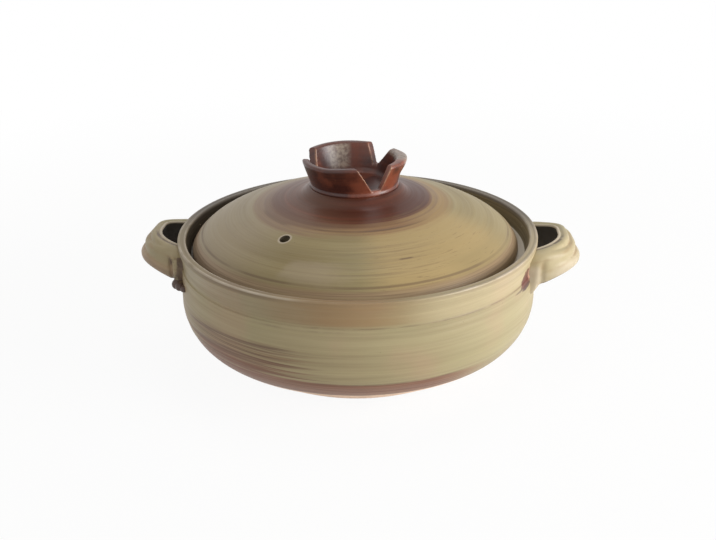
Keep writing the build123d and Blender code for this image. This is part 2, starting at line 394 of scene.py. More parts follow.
def knob_line(size):
    """The knob's profile before its petals are shaped, from its foot up and into the cup."""
    foot, top = knob_low.z, knob_high.z
    sunk = foot - 1.6 * mm
    bead_low = foot + size.neck_height
    bead_middle = bead_low + 1.3 * size.bead_rise
    bead_top = bead_low + 2 * size.bead_rise
    cup_radius = size.neck_radius - size.wall
    cup_floor = foot + size.floor
    corners = [
        ((0, sunk), 0),
        ((size.skirt_radius + 0.6 * mm, sunk), 0),
        ((size.neck_radius + 0.3 * mm, foot + 0.9 * mm), 2.0 * mm),
        ((size.neck_radius, bead_low), 0.8 * mm),
        ((size.neck_radius + size.bead, bead_middle), 1.6 * mm),
        ((size.neck_radius + 0.5 * mm, bead_top), 1.2 * mm),
        ((size.radius, top), 2.2 * mm),
        ((size.radius - size.wall, top), 2.4 * mm),
        ((cup_radius, cup_floor), 5.0 * mm),
        ((0, cup_floor), 0),
    ]
    return dense(rounded(corners), 0.9 * mm)


# Modelling


def ramp(value, start, end):
    """0 before start, 1 after end, and smooth between them."""
    t = min(1.0, max(0.0, (value - start) / (end - start)))
    return t * t * (3 - 2 * t)


def fall(value, start, end):
    """1 before start, 0 after end, and smooth between them."""
    return 1 - ramp(value, start, end)


def bell(off, half_width):
    """1 in the middle of a soft line, and nearly 0 at twice its half width."""
    return exp(-((off / half_width) ** 2))


def alone(piece=None):
    """Selects one object and nothing else."""
    bpy.ops.object.select_all(action="DESELECT")
    if piece:
        piece.select_set(True)
        bpy.context.view_layer.objects.active = piece


def lathe(name, line, centre_x=0.0):
    """Draws a profile point by point and spins it round an upright axis."""
    alone()
    bpy.ops.mesh.primitive_plane_add(size=10 * mm)
    piece = bpy.context.object
    piece.name = piece.data.name = name
    bpy.ops.object.mode_set(mode="EDIT")
    bpy.ops.mesh.merge(type="CENTER")
    bpy.ops.transform.translate(value=(centre_x + line[0].x, 0, line[0].y))
    for start, end in zip(line, line[1:]):
        move = (end.x - start.x, 0, end.y - start.y)
        bpy.ops.mesh.extrude_region_move(TRANSFORM_OT_translate={"value": move})
    bpy.ops.mesh.select_all(action="SELECT")
    bpy.ops.mesh.spin(steps=wheel_steps, angle=2 * pi, center=(centre_x, 0, 0), axis=(0, 0, 1))
    bpy.ops.mesh.select_all(action="SELECT")
    bpy.ops.mesh.remove_doubles(threshold=weld)
    bpy.ops.mesh.normals_make_consistent(inside=False)
    bpy.ops.object.mode_set(mode="OBJECT")
    return piece


def finish_modifiers(piece):
    """Applies every modifier of a piece, in order."""
    alone(piece)
    for name in [m.name for m in piece.modifiers]:
        bpy.ops.object.modifier_apply(modifier=name)


def cut_away(piece, tool):
    """Cuts the shape of a tool out of a piece, and removes the tool."""
    cut = piece.modifiers.new("cut", "BOOLEAN")
    cut.operation = "DIFFERENCE"
    cut.solver = "EXACT"
    cut.object = tool
    finish_modifiers(piece)
    bpy.data.objects.remove(tool)


def knead(piece, grain, rounds):
    """Makes one skin of all that a piece holds, and smooths it as wet clay is smoothed."""
    remesh = piece.modifiers.new("skin", "REMESH")
    remesh.mode = "VOXEL"
    remesh.voxel_size = grain
    soften = piece.modifiers.new("soften", "SMOOTH")
    soften.factor = 0.5
    soften.iterations = rounds
    finish_modifiers(piece)


def smooth_shading(piece, sharp_angle):
    """Shades a piece smooth, and keeps edges sharper than an angle in degrees."""
    alone(piece)
    bpy.ops.object.shade_smooth_by_angle(angle=radians(sharp_angle))


def press_rings(piece, centre_x, pitch, depth, pressed):
    """Presses a faint spiral of finger rings and a slow waver into a thrown wall, only ever inwards."""
    waver_depth = 0.35 * mm
    waver_size = 50 * mm
    vertices = piece.data.vertices
    normals = [v.normal.copy() for v in vertices]
    for vertex, normal in zip(vertices, normals):
        x, y, z = vertex.co
        radius = hypot(x - centre_x, y)
        run = z - 0.6 * radius
        ring = 0.5 - 0.5 * cos(2 * pi * run / pitch - atan2(y, x - centre_x))
        strength = max(0.0, 0.5 + noise.noise(Vector((run / (11 * mm), 7.3, 0))))
        waver = 0.5 + 0.5 * noise.noise(vertex.co / waver_size)
        vertex.co -= normal * pressed(radius, z) * (depth * ring * strength + waver_depth * waver)


def store(piece, name, values):
    """Keeps a number at each vertex, which a material reads by its name."""
    attribute = piece.data.attributes.new(name, "FLOAT", "POINT")
    attribute.data.foreach_set("value", values)


def mark_where(piece, name, centre_x, test):
    """Marks the vertices that pass a test of their radius, height, outward and upward slope."""
    values = []
    for vertex in piece.data.vertices:
        x, y, z = vertex.co.x - centre_x, vertex.co.y, vertex.co.z
        radius = hypot(x, y)
        outward = (vertex.normal.x * x + vertex.normal.y * y) / max(radius, weld)
        values.append(float(test(radius, z, outward, vertex.normal.z)))
    store(piece, name, values)


def settle(piece, body, slot, *nodes):
    """Hands a finished piece to the frame."""
    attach(piece, body)
    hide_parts(*nodes)


# Node trees


class Wires:
    """Adds nodes to one tree and joins them."""

    def __init__(self, tree):
        """Starts with an empty tree."""
        self.tree = tree
        tree.nodes.clear()

    def node(self, kind, inputs=None, **settings):
        """Adds a node, sets it up, and fills its inputs with values or with other nodes' outputs."""
        node = self.tree.nodes.new(kind)
        for name, value in settings.items():
            setattr(node, name, value)
        for key, value in (inputs or {}).items():
            if isinstance(value, bpy.types.NodeSocket):
                self.tree.links.new(value, node.inputs[key])
            else:
                node.inputs[key].default_value = value
        return node

    def add(self, kind, inputs=None, output=0, **settings):
        """Adds a node and returns one of its outputs."""
        return self.node(kind, inputs, **settings).outputs[output]

    def group(self, name, maker, inputs):
        """Places a shared group, which is made when it is first asked for, and returns its outputs."""
        tree = bpy.data.node_groups.get(name) or maker(name)
        return self.node("ShaderNodeGroup", inputs, node_tree=tree).outputs

    def math(self, operation, first, second=0.0):
        """Reckons with one or two values."""
        return self.add("ShaderNodeMath", {0: first, 1: second}, operation=operation)

    def times(self, first, *others):
        """The product of masks and strengths."""
        for other in others:
            first = self.math("MULTIPLY", first, other)
        return first

    def plus(self, first, second):
        """The sum of two values."""
        return self.math("ADD", first, second)

    def minus(self, first, second):
        """The first value less the second."""
        return self.math("SUBTRACT", first, second)

    def sway(self, cloud, reach):
        """A cloud of 0 to 1 as a shift to both sides, with a reach from end to end."""
        return self.times(self.minus(cloud, 0.5), reach)

    def split(self, place):
        """The X, Y and Z of a place."""
        return self.node("ShaderNodeSeparateXYZ", {0: place}).outputs

    def distance(self, place):
        """How far a place lies from the origin."""
        return self.add("ShaderNodeVectorMath", {0: place}, "Value", operation="LENGTH")

    def ramp(self, value, start, end, low=0.0, high=1.0):
        """Maps start to low and end to high, smoothly and with nothing beyond."""
        inputs = {"Value": value, "From Min": start, "From Max": end, "To Min": low, "To Max": high}
        return self.add("ShaderNodeMapRange", inputs, interpolation_type="SMOOTHSTEP")

    def window(self, value, low, first, second, high):
        """1 between the two middle edges, and 0 outside the outer two."""
        return self.times(self.ramp(value, low, first), self.ramp(value, high, second))

    def line(self, value, middle, half_width):
        """A soft line where a value is near its middle."""
        off = self.math("ABSOLUTE", self.minus(value, middle))
        return self.ramp(off, half_width, 0.2 * half_width)

    def mix(self, mask, first, second):
        """Second over first, as far as mask says."""
        first, second = (c if isinstance(c, bpy.types.NodeSocket) else (*c, 1) for c in (first, second))
        return self.add("ShaderNodeMix", {0: mask, 6: first, 7: second}, 2, data_type="RGBA")

    def noise(self, place, scale, detail, rough=0.5):
        """Soft clouds from 0 to 1."""
        inputs = {"Vector": place, "Scale": scale, "Detail": detail, "Roughness": rough}
        return self.add("ShaderNodeTexNoise", inputs)


def start_group(name, inputs):
    """Starts a shared group from the names of its inputs and their default values."""
    tree = bpy.data.node_groups.new(name, "ShaderNodeTree")
    for label, value in inputs.items():
        kind = "NodeSocketVector" if isinstance(value, tuple) else "NodeSocketFloat"
        tree.interface.new_socket(label, in_out="INPUT", socket_type=kind).default_value = value
    wires = Wires(tree)
    return wires, wires.node("NodeGroupInput").outputs


def end_group(wires, outputs):
    """Ends a shared group with the names of its outputs and what they give."""
    for label in outputs:
        wires.tree.interface.new_socket(label, in_out="OUTPUT", socket_type="NodeSocketFloat")
    wires.node("NodeGroupOutput", outputs)
    return wires.tree


def wheel_place_group(name):
    """Radius, height and the run along a thrown wall, from a place on it."""
    inputs = {"Place": (0.0, 0.0, 0.0), "Height share": 1.0, "Radius share": 1.0}
    wires, given = start_group(name, inputs)
    x, y, z = wires.split(given["Place"])
    radius = wires.distance(wires.add("ShaderNodeCombineXYZ", {0: x, 1: y}))
    upward = wires.times(z, given["Height share"])
    outward = wires.times(radius, given["Radius share"])
    return end_group(wires, {"Radius": radius, "Height": z, "Run": wires.plus(upward, outward)})


def streaks_group(name):
    """Streaks that the wheel draws round a wall: long round it and short along its run."""
    inputs = {"Place": (0.0, 0.0, 0.0), "Run": 0.0, "Round": 10.0, "Along": 300.0, "Low": 0.4, "High": 0.6}
    wires, given = start_group(name, inputs)
    x, y, _ = wires.split(given["Place"])
    run = wires.times(given["Run"], given["Along"])
    stretched = {0: wires.times(x, given["Round"]), 1: wires.times(y, given["Round"]), 2: run}
    cloud = wires.noise(wires.add("ShaderNodeCombineXYZ", stretched), 1.0, 3.0, 0.55)
    return end_group(wires, {"Mask": wires.ramp(cloud, given["Low"], given["High"])})


def glaze_edge_group(name):
    """How far a glaze reaches: 1 before its edge and 0 past it, along an edge that wavers."""
    inputs = {"Place": (0.0, 0.0, 0.0), "Measure": 0.0, "Edge": 0.02, "Softness": 0.002}
    wires, given = start_group(name, {**inputs, "Waver": 0.003, "Scale": 20.0})
    shift = wires.sway(wires.noise(given["Place"], given["Scale"], 3.0), given["Waver"])
    measure = wires.plus(given["Measure"], shift)
    inner = wires.minus(given["Edge"], given["Softness"])
    outer = wires.plus(given["Edge"], given["Softness"])
    return end_group(wires, {"Mask": wires.ramp(measure, outer, inner)})


def pits_group(name):
    """Pinholes and specks: some of the cells of a fine pattern hold a small round spot."""
    inputs = {"Place": (0.0, 0.0, 0.0), "Scale": 300.0, "Size": 0.3, "Amount": 0.2}
    wires, given = start_group(name, inputs)
    cells = wires.node("ShaderNodeTexVoronoi", {"Vector": given["Place"], "Scale": given["Scale"]}).outputs
    drawn = wires.add("ShaderNodeSeparateColor", {0: cells["Color"]})
    chosen = wires.math("LESS_THAN", drawn, given["Amount"])
    spot = wires.ramp(cells["Distance"], given["Size"], 0.0)
    return end_group(wires, {"Mask": wires.times(chosen, spot)})


class Glaze(Wires):
    """The material of a piece: a colour that is laid on in coats, and then fired."""

    def __init__(self, name, centre_x=0.0):
        """Starts a material whose places are measured from the piece's own axis."""
        self.material = bpy.data.materials.new(name)
        self.material.use_nodes = True
        super().__init__(self.material.node_tree)
        place = self.add("ShaderNodeTexCoord", output="Object")
        self.place = self.add("ShaderNodeMapping", {0: place, 1: (-centre_x, 0, 0)})
        self.colour = None

    def coat(self, over, strength, *masks):
        """Lays another glaze over the colour, as far as a strength and some masks say."""
        self.colour = self.mix(self.times(strength, *masks), self.colour, over)

    def cloud(self, scale, detail):
        """Soft clouds on the piece."""
        return self.noise(self.place, scale, detail)

    def patchy(self, scale, detail, *limits):
        """Patches: clouds between two limits, and if need be between other values than 0 and 1."""
        return self.ramp(self.cloud(scale, detail), *limits)

    def marked(self, name):
        """A number that the modelling kept on the piece."""
        return self.add("ShaderNodeAttribute", output="Fac", attribute_name=name)

    def pits(self, scale, size, amount):
        """Pinholes and specks on the piece."""
        inputs = {"Place": self.place, "Scale": scale, "Size": size, "Amount": amount}
        return self.group("Kiln pits", pits_group, inputs)["Mask"]

    def fire(self, roughness, relief, depth, shine=0.5):
        """Ends the material with one shader, and returns it."""
        bump = self.add("ShaderNodeBump", {"Strength": 1.0, "Distance": depth, "Height": relief})
        inputs = {"Base Color": self.colour, "Roughness": roughness, "Normal": bump}
        inputs["Specular IOR Level"] = shine
        self.node("ShaderNodeOutputMaterial", {"Surface": self.add("ShaderNodeBsdfPrincipled", inputs)})
        return self.material


class ThrownGlaze(Glaze):
    """The material of a thrown piece, which knows where the wheel has passed."""

    def __init__(self, name, centre_x, height_share, radius_share):
        """Measures the wall, with the shares of height and radius in its run."""
        super().__init__(name, centre_x)
        inputs = {"Place": self.place, "Height share": height_share, "Radius share": radius_share}
        self.radius, self.height, self.run = self.group("Wheel place", wheel_place_group, inputs)
        self.x, self.y, _ = self.split(self.place)
        self.direction = self.math("DEGREES", self.math("ARCTAN2", self.y, self.x))
        self.aside = self.math("ABSOLUTE", self.direction)

    def streaks(self, around, along, low, high):
        """Streaks of the wheel: their number round and along a metre of wall, and two limits."""
        inputs = {"Place": self.place, "Run": self.run, "Round": around, "Along": along}
        return self.group("Wheel streaks", streaks_group, {**inputs, "Low": low, "High": high})["Mask"]

    def reaches(self, measure, edge, softness, waver, scale):
        """1 up to the wavering edge of a glaze, by a measure such as the height."""
        inputs = {"Place": self.place, "Measure": measure, "Edge": edge, "Softness": softness}
        inputs.update({"Waver": waver, "Scale": scale})
        return self.group("Glaze edge", glaze_edge_group, inputs)["Mask"]

    def facing(self, *edges):
        """1 in a window of directions, in degrees."""
        return self.window(self.direction, *edges)

    def on_left(self, start, end):
        """1 on the left, from a soft border in front to another one at the back."""
        back = self.ramp(self.direction, 95.0, 170.0)
        return self.math("MAXIMUM", self.ramp(self.direction, start, end), back)

    def on_right(self, start, end):
        """1 on the right, between the same two borders."""
        return self.minus(1.0, self.on_left(start, end))


# Glaze of the bowl


def coat_bowl(glaze, look, fine):
    """Olive glaze all over, with the wheel's streaks, greener and warmer patches, and painted light on the
    right.
    """
    glaze.colour = glaze.mix(glaze.streaks(5.0, 110.0, 0.3, 0.7), look.olive_dark, look.olive)
    glaze.coat(look.olive_light, 0.30, fine)
    glaze.coat(look.olive_dark, 0.32, glaze.streaks(7.0, 900.0, 0.5, 0.75))
    glaze.coat(look.streak, 0.16, glaze.streaks(4.0, 1500.0, 0.56, 0.72))
    glaze.coat(look.green, 0.30, glaze.patchy(13.0, 2.0, 0.45, 0.7))
    glaze.coat(look.blush, 0.22, glaze.patchy(17.0, 3.0, 0.54, 0.7))
    # Painted light on the right of the bowl
    glaze.coat(look.painted_light_cream, 0.10, glaze.on_right(-26.0, -64.0))


def coat_collar(glaze, look, ring_height, broken):
    """Collar: painted light on the right and painted shade on the left, warm in front, with the throwing
    ring below it.
    """
    neck = glaze.ramp(glaze.height, ring_height - 2 * mm, ring_height + 3 * mm)
    # Painted light on the right of the collar, and painted shade on its left
    glaze.coat(look.painted_light_cream, 0.30, neck, glaze.on_right(-58.0, -80.0))
    glaze.coat(look.streak, 0.24, neck, glaze.on_left(-78.0, -100.0))
    collar = glaze.ramp(glaze.height, ring_height - 1 * mm, ring_height + 3 * mm)
    warm = glaze.times(glaze.facing(-120.0, -98.0, -84.0, -60.0), collar)
    glaze.coat(look.ochre, 0.56, warm, glaze.patchy(26.0, 3.0, 0.3, 0.6, 0.6, 1.0))
    ring = glaze.line(glaze.height, ring_height - 0.3 * mm, 0.7 * mm)
    faint = glaze.ramp(glaze.on_left(-98.0, -114.0), 0.0, 1.0, 1.0, 0.15)
    glaze.coat(look.streak, 0.38, ring, faint, broken)
    second = glaze.line(glaze.height, ring_height - 2.6 * mm, 1.0 * mm)
    glaze.coat(look.streak, 0.35, second, glaze.facing(-122.0, -114.0, -92.0, -84.0), broken)


def coat_low_left(glaze, look):
    """Dark wheel lines and reddish glaze low on the left of the bowl."""
    wavy = glaze.plus(glaze.height, glaze.sway(glaze.cloud(30.0, 3.0), 5.0 * mm))
    sides = glaze.plus(glaze.direction, glaze.sway(glaze.streaks(1.5, 420.0, 0.2, 0.8), 22.0))
    belly = glaze.window(glaze.height, 30 * mm, 40 * mm, 66 * mm, 80 * mm)
    glaze.coat(look.wash_cool, 0.35, belly, glaze.ramp(glaze.aside, 145.0, 165.0))
    patch = glaze.window(wavy, 33 * mm, 37 * mm, 55 * mm, 60 * mm)
    patch = glaze.times(patch, glaze.window(sides, -156.0, -140.0, -114.0, -98.0))
    glaze.coat(look.wash, 0.20, patch)
    glaze.coat(look.streak, 0.85, patch, glaze.streaks(6.0, 560.0, 0.40, 0.58))
    glaze.coat(look.wash, 0.40, patch, glaze.streaks(10.0, 1300.0, 0.45, 0.6))
    # The longest line rises a little towards the right
    climb = glaze.times(glaze.plus(glaze.direction, 130.0), 0.07 * mm)
    long_line = glaze.line(glaze.minus(glaze.height, climb), 55.2 * mm, 1.5 * mm)
    glaze.coat(look.streak, 0.60, long_line, glaze.window(sides, -152.0, -143.0, -112.0, -104.0))
    red = glaze.window(wavy, 26 * mm, 31 * mm, 40 * mm, 47 * mm)
    red = glaze.times(red, glaze.window(sides, -165.0, -145.0, -118.0, -104.0))
    glaze.coat(look.wash, 0.85, red, glaze.streaks(9.0, 300.0, 0.30, 0.55))


def coat_base(glaze, look, broken):
    """Iron wash above the bare foot, thin and cool in its streaks, with a darker upper edge."""
    wash_top = 33.8 * mm
    wash = glaze.mix(glaze.streaks(12.0, 380.0, 0.35, 0.62), look.wash_cool, look.wash)
    wash = glaze.mix(glaze.times(0.35, glaze.streaks(24.0, 700.0, 0.5, 0.72)), wash, look.streak)
    strength = glaze.ramp(glaze.on_left(-34.0, -66.0), 0.0, 1.0, 0.15, 0.95)
    glaze.coat(wash, strength, glaze.reaches(glaze.height, wash_top, 0.7 * mm, 4.5 * mm, 16.0))
    upper = glaze.times(glaze.line(glaze.height, wash_top, 1.0 * mm), broken)
    glaze.coat(look.streak, 0.50, upper, glaze.facing(-104.0, -96.0, -60.0, -40.0))


def coat_stains(glaze, look):
    """Iron that ran down the wall beside the roots of the handles, in front and at the back, and painted
    shadow under the roots.
    """
    # Middle of each stain in degrees and millimetres, its tilt, half sizes, strength and glaze
    stains = (
        ((-19.7, 75.8), -12, (3.9, 6.9), 0.9, look.pool),
        ((-20.1, 72.6), 0, (5.0, 4.4), 0.85, look.pool),
        ((-16.6, 77.0), -6, (0.9, 5.0), 0.75, look.blush),
        # The umber marks at 70.2 and 71.2 mm are painted shadow that the root casts on the wall
        ((-19.4, 70.2), 0, (4.8, 1.7), 0.85, look.umber),
        ((-14.2, 76.0), -4, (1.5, 9.0), 0.95, look.umber),
        ((-25.8, 71.2), 0, (3.0, 0.9), 0.55, look.umber),
    )
    both_sides = glaze.times(glaze.aside, -1.0)
    wall = glaze.add("ShaderNodeCombineXYZ", {0: both_sides, 1: glaze.times(glaze.height, 1 / mm)})
    ragged = glaze.sway(glaze.cloud(330.0, 3.0), 1.0)
    for middle, tilt, half_sizes, strength, over in stains:
        inputs = {0: wall, 1: (*middle, 0), 2: (0, 0, radians(tilt)), 3: (*half_sizes, 1)}
        inside = glaze.add("ShaderNodeMapping", inputs, vector_type="TEXTURE")
        reach = glaze.plus(glaze.distance(inside), ragged)
        glaze.coat(over, strength, glaze.ramp(reach, 1.12, 0.78))


def coat_lip(glaze, look, size, broken):
    """Lip: browner all round and most on the left of the front, with painted shade over the back and pale
    edges that are partly thin glaze and partly painted highlight.
    """
    top = size.rim_height
    outer_radius = size.rim_radius
    inner_radius = size.rim_radius - size.lip_width
    lip = glaze.ramp(glaze.height, top - 4 * mm, top - 2.2 * mm)
    off_front = glaze.math("ABSOLUTE", glaze.plus(glaze.direction, 84.0))
    behind = glaze.ramp(glaze.y, -14 * mm, 44 * mm)
    glaze.coat(look.streak, 0.18, lip)
    glaze.coat(look.streak, 0.13, lip, glaze.ramp(off_front, 14.0, 34.0))
    glaze.coat(look.streak, 0.34, lip, glaze.facing(-146.0, -132.0, -118.0, -106.0))
    # Painted shade over the back of the lip
    glaze.coat(look.painted_lip_shade, 0.82, lip, behind)
    edges = glaze.ramp(glaze.height, top - 1.3 * mm, top - 0.6 * mm)
    outer = glaze.times(edges, glaze.ramp(glaze.radius, outer_radius - 2.2 * mm, outer_radius - 1.4 * mm))
    inner = glaze.times(edges, glaze.ramp(glaze.radius, inner_radius + 1.4 * mm, inner_radius + 0.8 * mm))
    faint = glaze.times(broken, glaze.ramp(off_front, 14.0, 34.0, 0.1, 1.0))
    faint = glaze.times(faint, glaze.ramp(behind, 0.0, 1.0, 1.0, 0.2))
    # Pale edges: partly thin glaze, partly painted highlight; the left of the front gets the strongest
    # painted highlight
    glaze.coat(look.ring, 0.50, glaze.math("MAXIMUM", outer, inner), faint)
    glaze.coat(look.ring, 0.45, outer, glaze.facing(-142.0, -130.0, -110.0, -100.0))


def coat_inside(glaze, look, fine):
    """Darker glaze on the inner face of a hollow piece, and returns where that face is."""
    inside = glaze.marked("inside")
    glaze.coat(glaze.mix(glaze.times(fine, 0.6), look.inner, look.olive_dark), inside)
    return inside


def coat_well(glaze, look, size):
    """Bare ledge that carries the lid, and painted shadow inside the collar on the left."""
    top = size.rim_height
    ring_height = top - size.collar_height
    inner_radius = size.rim_radius - size.lip_width
    glaze.coat(look.shelf, glaze.marked("ledge"))
    low = glaze.ramp(glaze.height, ring_height, ring_height + 2 * mm)
    high = glaze.ramp(glaze.height, top - 0.8 * mm, top - 2.4 * mm)
    within = glaze.ramp(glaze.radius, inner_radius + 0.6 * mm, inner_radius - 0.2 * mm)
    # Painted shadow inside the collar on the left, where the lid shades it
    glaze.coat(look.shade_and_iron_black, 0.80, low, high, within, glaze.ramp(glaze.aside, 100.0, 135.0))


def bowl_glaze(look, size):
    """Matte olive glaze with wheel streaks, iron wash towards the base and bare clay below."""
    glaze = ThrownGlaze("bowl_glaze", 0.0, 1.0, 1.0)
    fine = glaze.streaks(10.0, 620.0, 0.3, 0.7)
    broken = glaze.patchy(60.0, 3.0, 0.35, 0.6, 0.25, 1.0)
    coat_bowl(glaze, look, fine)
    coat_collar(glaze, look, size.rim_height - size.collar_height, broken)
    coat_low_left(glaze, look)
    coat_base(glaze, look, broken)
    pits = glaze.pits(230.0, 0.14, 0.04)
    glaze.coat(look.streak, 0.40, pits)
    coat_stains(glaze, look)
    coat_lip(glaze, look, size, broken)
    inside = coat_inside(glaze, look, fine)
    coat_well(glaze, look, size)

    foot_top = 21.2 * mm
    bare = glaze.reaches(glaze.height, foot_top, 0.5 * mm, 2.0 * mm, 40.0)
    bare = glaze.times(bare, glaze.minus(1.0, inside))
    glaze.coat(glaze.mix(glaze.times(0.2, glaze.patchy(45.0, 4.0, 0.4, 0.7)), look.clay, look.blush), bare)

    grain = glaze.times(glaze.cloud(900.0, 2.0), 0.3)
    relief = glaze.minus(glaze.plus(fine, grain), pits)
    roughness = glaze.plus(glaze.ramp(fine, 0.0, 1.0, 0.50, 0.43), glaze.times(bare, 0.38))
    return glaze.fire(roughness, relief, 0.07 * mm, 0.45)


# Glaze of the lid


def coat_lid(glaze, look, fine):
    """Olive glaze all over the lid, in a darker copy as painted shade, with a painted sheen over its left.
    """
    # Painted shade: the lid's olive is a darker copy
    glaze.colour = glaze.mix(glaze.streaks(5.0, 70.0, 0.3, 0.7), look.shaded_moss_dark, look.shaded_moss)
    glaze.coat(look.olive, 0.22, fine)
    glaze.coat(look.streak, 0.16, glaze.streaks(5.0, 1300.0, 0.54, 0.72))
    glaze.coat(look.green, 0.20, glaze.patchy(14.0, 2.0, 0.45, 0.7))
    # Painted sheen: the satin glaze's reflection over the left of the lid
    glaze.coat(look.pale_glaze_and_sheen, 0.46, glaze.on_left(-112.0, -150.0))


def coat_lid_right(glaze, look):
    """Warmer glaze on the right of the lid, with wavy streaks, scratches, specks and one dash."""
    warm = glaze.facing(-88.0, -70.0, -26.0, -4.0)
    warm = glaze.times(warm, glaze.window(glaze.radius, 60 * mm, 68 * mm, 109 * mm, 113 * mm))
    glaze.coat(look.straw, 0.75, warm)
    wavy = glaze.times(glaze.streaks(14.0, 420.0, 0.46, 0.66), glaze.ramp(glaze.radius, 72 * mm, 80 * mm))
    glaze.coat(look.streak, 0.30, wavy, glaze.facing(-112.0, -86.0, -62.0, -40.0))
    scratches = glaze.streaks(70.0, 900.0, 0.62, 0.70)
    glaze.coat(look.streak, 0.45, scratches, glaze.math("MAXIMUM", warm, 0.25))
    glaze.coat(look.streak, 0.50, warm, glaze.pits(520.0, 0.22, 0.10))
    dash = glaze.line(glaze.radius, 91 * mm, 1.0 * mm)
    glaze.coat(look.streak, 0.70, dash, glaze.facing(-68.5, -66.5, -63.0, -61.0))
    sunk = glaze.facing(-56.0, -40.0, -14.0, 4.0)
    glaze.coat(look.shaded_moss_dark, 0.46, sunk, glaze.ramp(glaze.radius, 94 * mm, 104 * mm))


def coat_lid_rim(glaze, look, ring_radius, broken):
    """A pale patch in front, the ring that was turned near the edge, and the rougher edge beyond it."""
    soft = glaze.cloud(70.0, 4.0)
    around = glaze.plus(glaze.direction, glaze.sway(soft, 14.0))
    across = glaze.plus(glaze.radius, glaze.sway(soft, 7.0 * mm))
    patch = glaze.times(
        glaze.window(around, -116.0, -110.0, -102.0, -84.0),
        glaze.window(across, 90 * mm, 95 * mm, 104 * mm, 110 * mm),
    )
    glaze.coat(look.pale_glaze_and_sheen, 0.30, patch)
    glaze.coat(look.streak, 0.60, glaze.line(glaze.radius, ring_radius, 1.1 * mm), broken)
    outer = glaze.ramp(glaze.radius, 109 * mm, 112 * mm)
    glaze.coat(look.blush, 0.30, outer)
    glaze.coat(look.streak, 0.35, outer, glaze.streaks(12.0, 900.0, 0.45, 0.6))


def coat_crown(glaze, look, broken):
    """Iron round the knob, with a brown band and dark lines beyond it, and returns where it is."""
    leftward = glaze.ramp(glaze.aside, 70.0, 150.0)
    drawn = glaze.plus(glaze.radius, glaze.sway(glaze.streaks(5.0, 260.0, 0.2, 0.8), 6.0 * mm))
    drawn = glaze.minus(drawn, glaze.times(leftward, 7.0 * mm))
    band = glaze.mix(glaze.streaks(14.0, 300.0, 0.35, 0.65), look.ochre, look.wash)
    # Painted sheen over the left of the brown band
    band = glaze.mix(glaze.times(leftward, 0.45), band, look.pale_glaze_and_sheen)
    band = glaze.mix(glaze.times(glaze.on_right(-30.0, -62.0), 0.4), band, look.straw)
    glaze.coat(band, 0.66, glaze.reaches(drawn, 65.0 * mm, 4.0 * mm, 12.0 * mm, 14.0))
    front = glaze.line(glaze.radius, 62.6 * mm, 1.1 * mm)
    glaze.coat(look.streak, 0.90, front, glaze.facing(-118.0, -104.0, -45.0, -28.0), broken)
    left = glaze.line(glaze.radius, 64.5 * mm, 2.2 * mm)
    glaze.coat(look.streak, 0.50, left, glaze.facing(-168.0, -155.0, -135.0, -124.0), broken)
    softness = glaze.ramp(leftward, 0.0, 1.0, 5.5 * mm, 13.0 * mm)
    crown = glaze.reaches(drawn, 56.0 * mm, softness, 9.0 * mm, 20.0)
    deep = glaze.times(glaze.streaks(9.0, 240.0, 0.45, 0.8), 0.35)
    deep = glaze.mix(deep, look.crown, look.iron_thin)
    # Painted sheen: the crown greys towards the left, where the satin iron reflects its surroundings
    glaze.coat(glaze.mix(glaze.times(leftward, 0.32), deep, look.wash_cool), 0.93, crown)
    return crown


def lid_glaze(look, size, centre_x, hole):
    """Olive glaze that turns to iron round the knob, with a halo at the steam hole."""
    glaze = ThrownGlaze("lid_glaze", centre_x, -0.7, 1.0)
    fine = glaze.streaks(10.0, 560.0, 0.3, 0.7)
    broken = glaze.patchy(24.0, 2.0, 0.3, 0.55, 0.35, 1.0)
    coat_lid(glaze, look, fine)
    coat_lid_right(glaze, look)
    coat_lid_rim(glaze, look, size.groove_radius, broken)
    crown = coat_crown(glaze, look, broken)
    pits = glaze.pits(200.0, 0.15, 0.05)
    glaze.coat(look.streak, 0.50, pits)

    hole_radius = size.steam_hole / 2
    across = {0: glaze.minus(glaze.x, hole[0]), 1: glaze.minus(glaze.y, hole[1])}
    away = glaze.distance(glaze.add("ShaderNodeCombineXYZ", across))
    glaze.coat(look.ring, 0.60, glaze.ramp(away, hole_radius + 1.8 * mm, hole_radius + 0.8 * mm))
    bore = glaze.ramp(away, hole_radius + 0.15 * mm, hole_radius - 0.05 * mm)
    # Painted shade: the steam hole's bore is laid very dark
    glaze.coat(look.shade_and_iron_black, bore)
    coat_inside(glaze, look, fine)
    seat = glaze.ramp(glaze.height, lid_low.z + 0.9 * mm, lid_low.z + 0.4 * mm)
    glaze.coat(look.clay, seat)

    calm = glaze.minus(1.0, glaze.times(crown, 0.75))
    relief = glaze.times(glaze.plus(fine, glaze.times(glaze.cloud(900.0, 2.0), 0.3)), calm)
    roughness = glaze.minus(glaze.ramp(fine, 0.0, 1.0, 0.48, 0.42), glaze.times(crown, 0.08))
    dull = glaze.plus(glaze.times(seat, 0.3), glaze.times(bore, 0.6))
    return glaze.fire(glaze.plus(roughness, dull), glaze.minus(relief, pits), 0.045 * mm, 0.25)


# Glazes of the knob and the handles


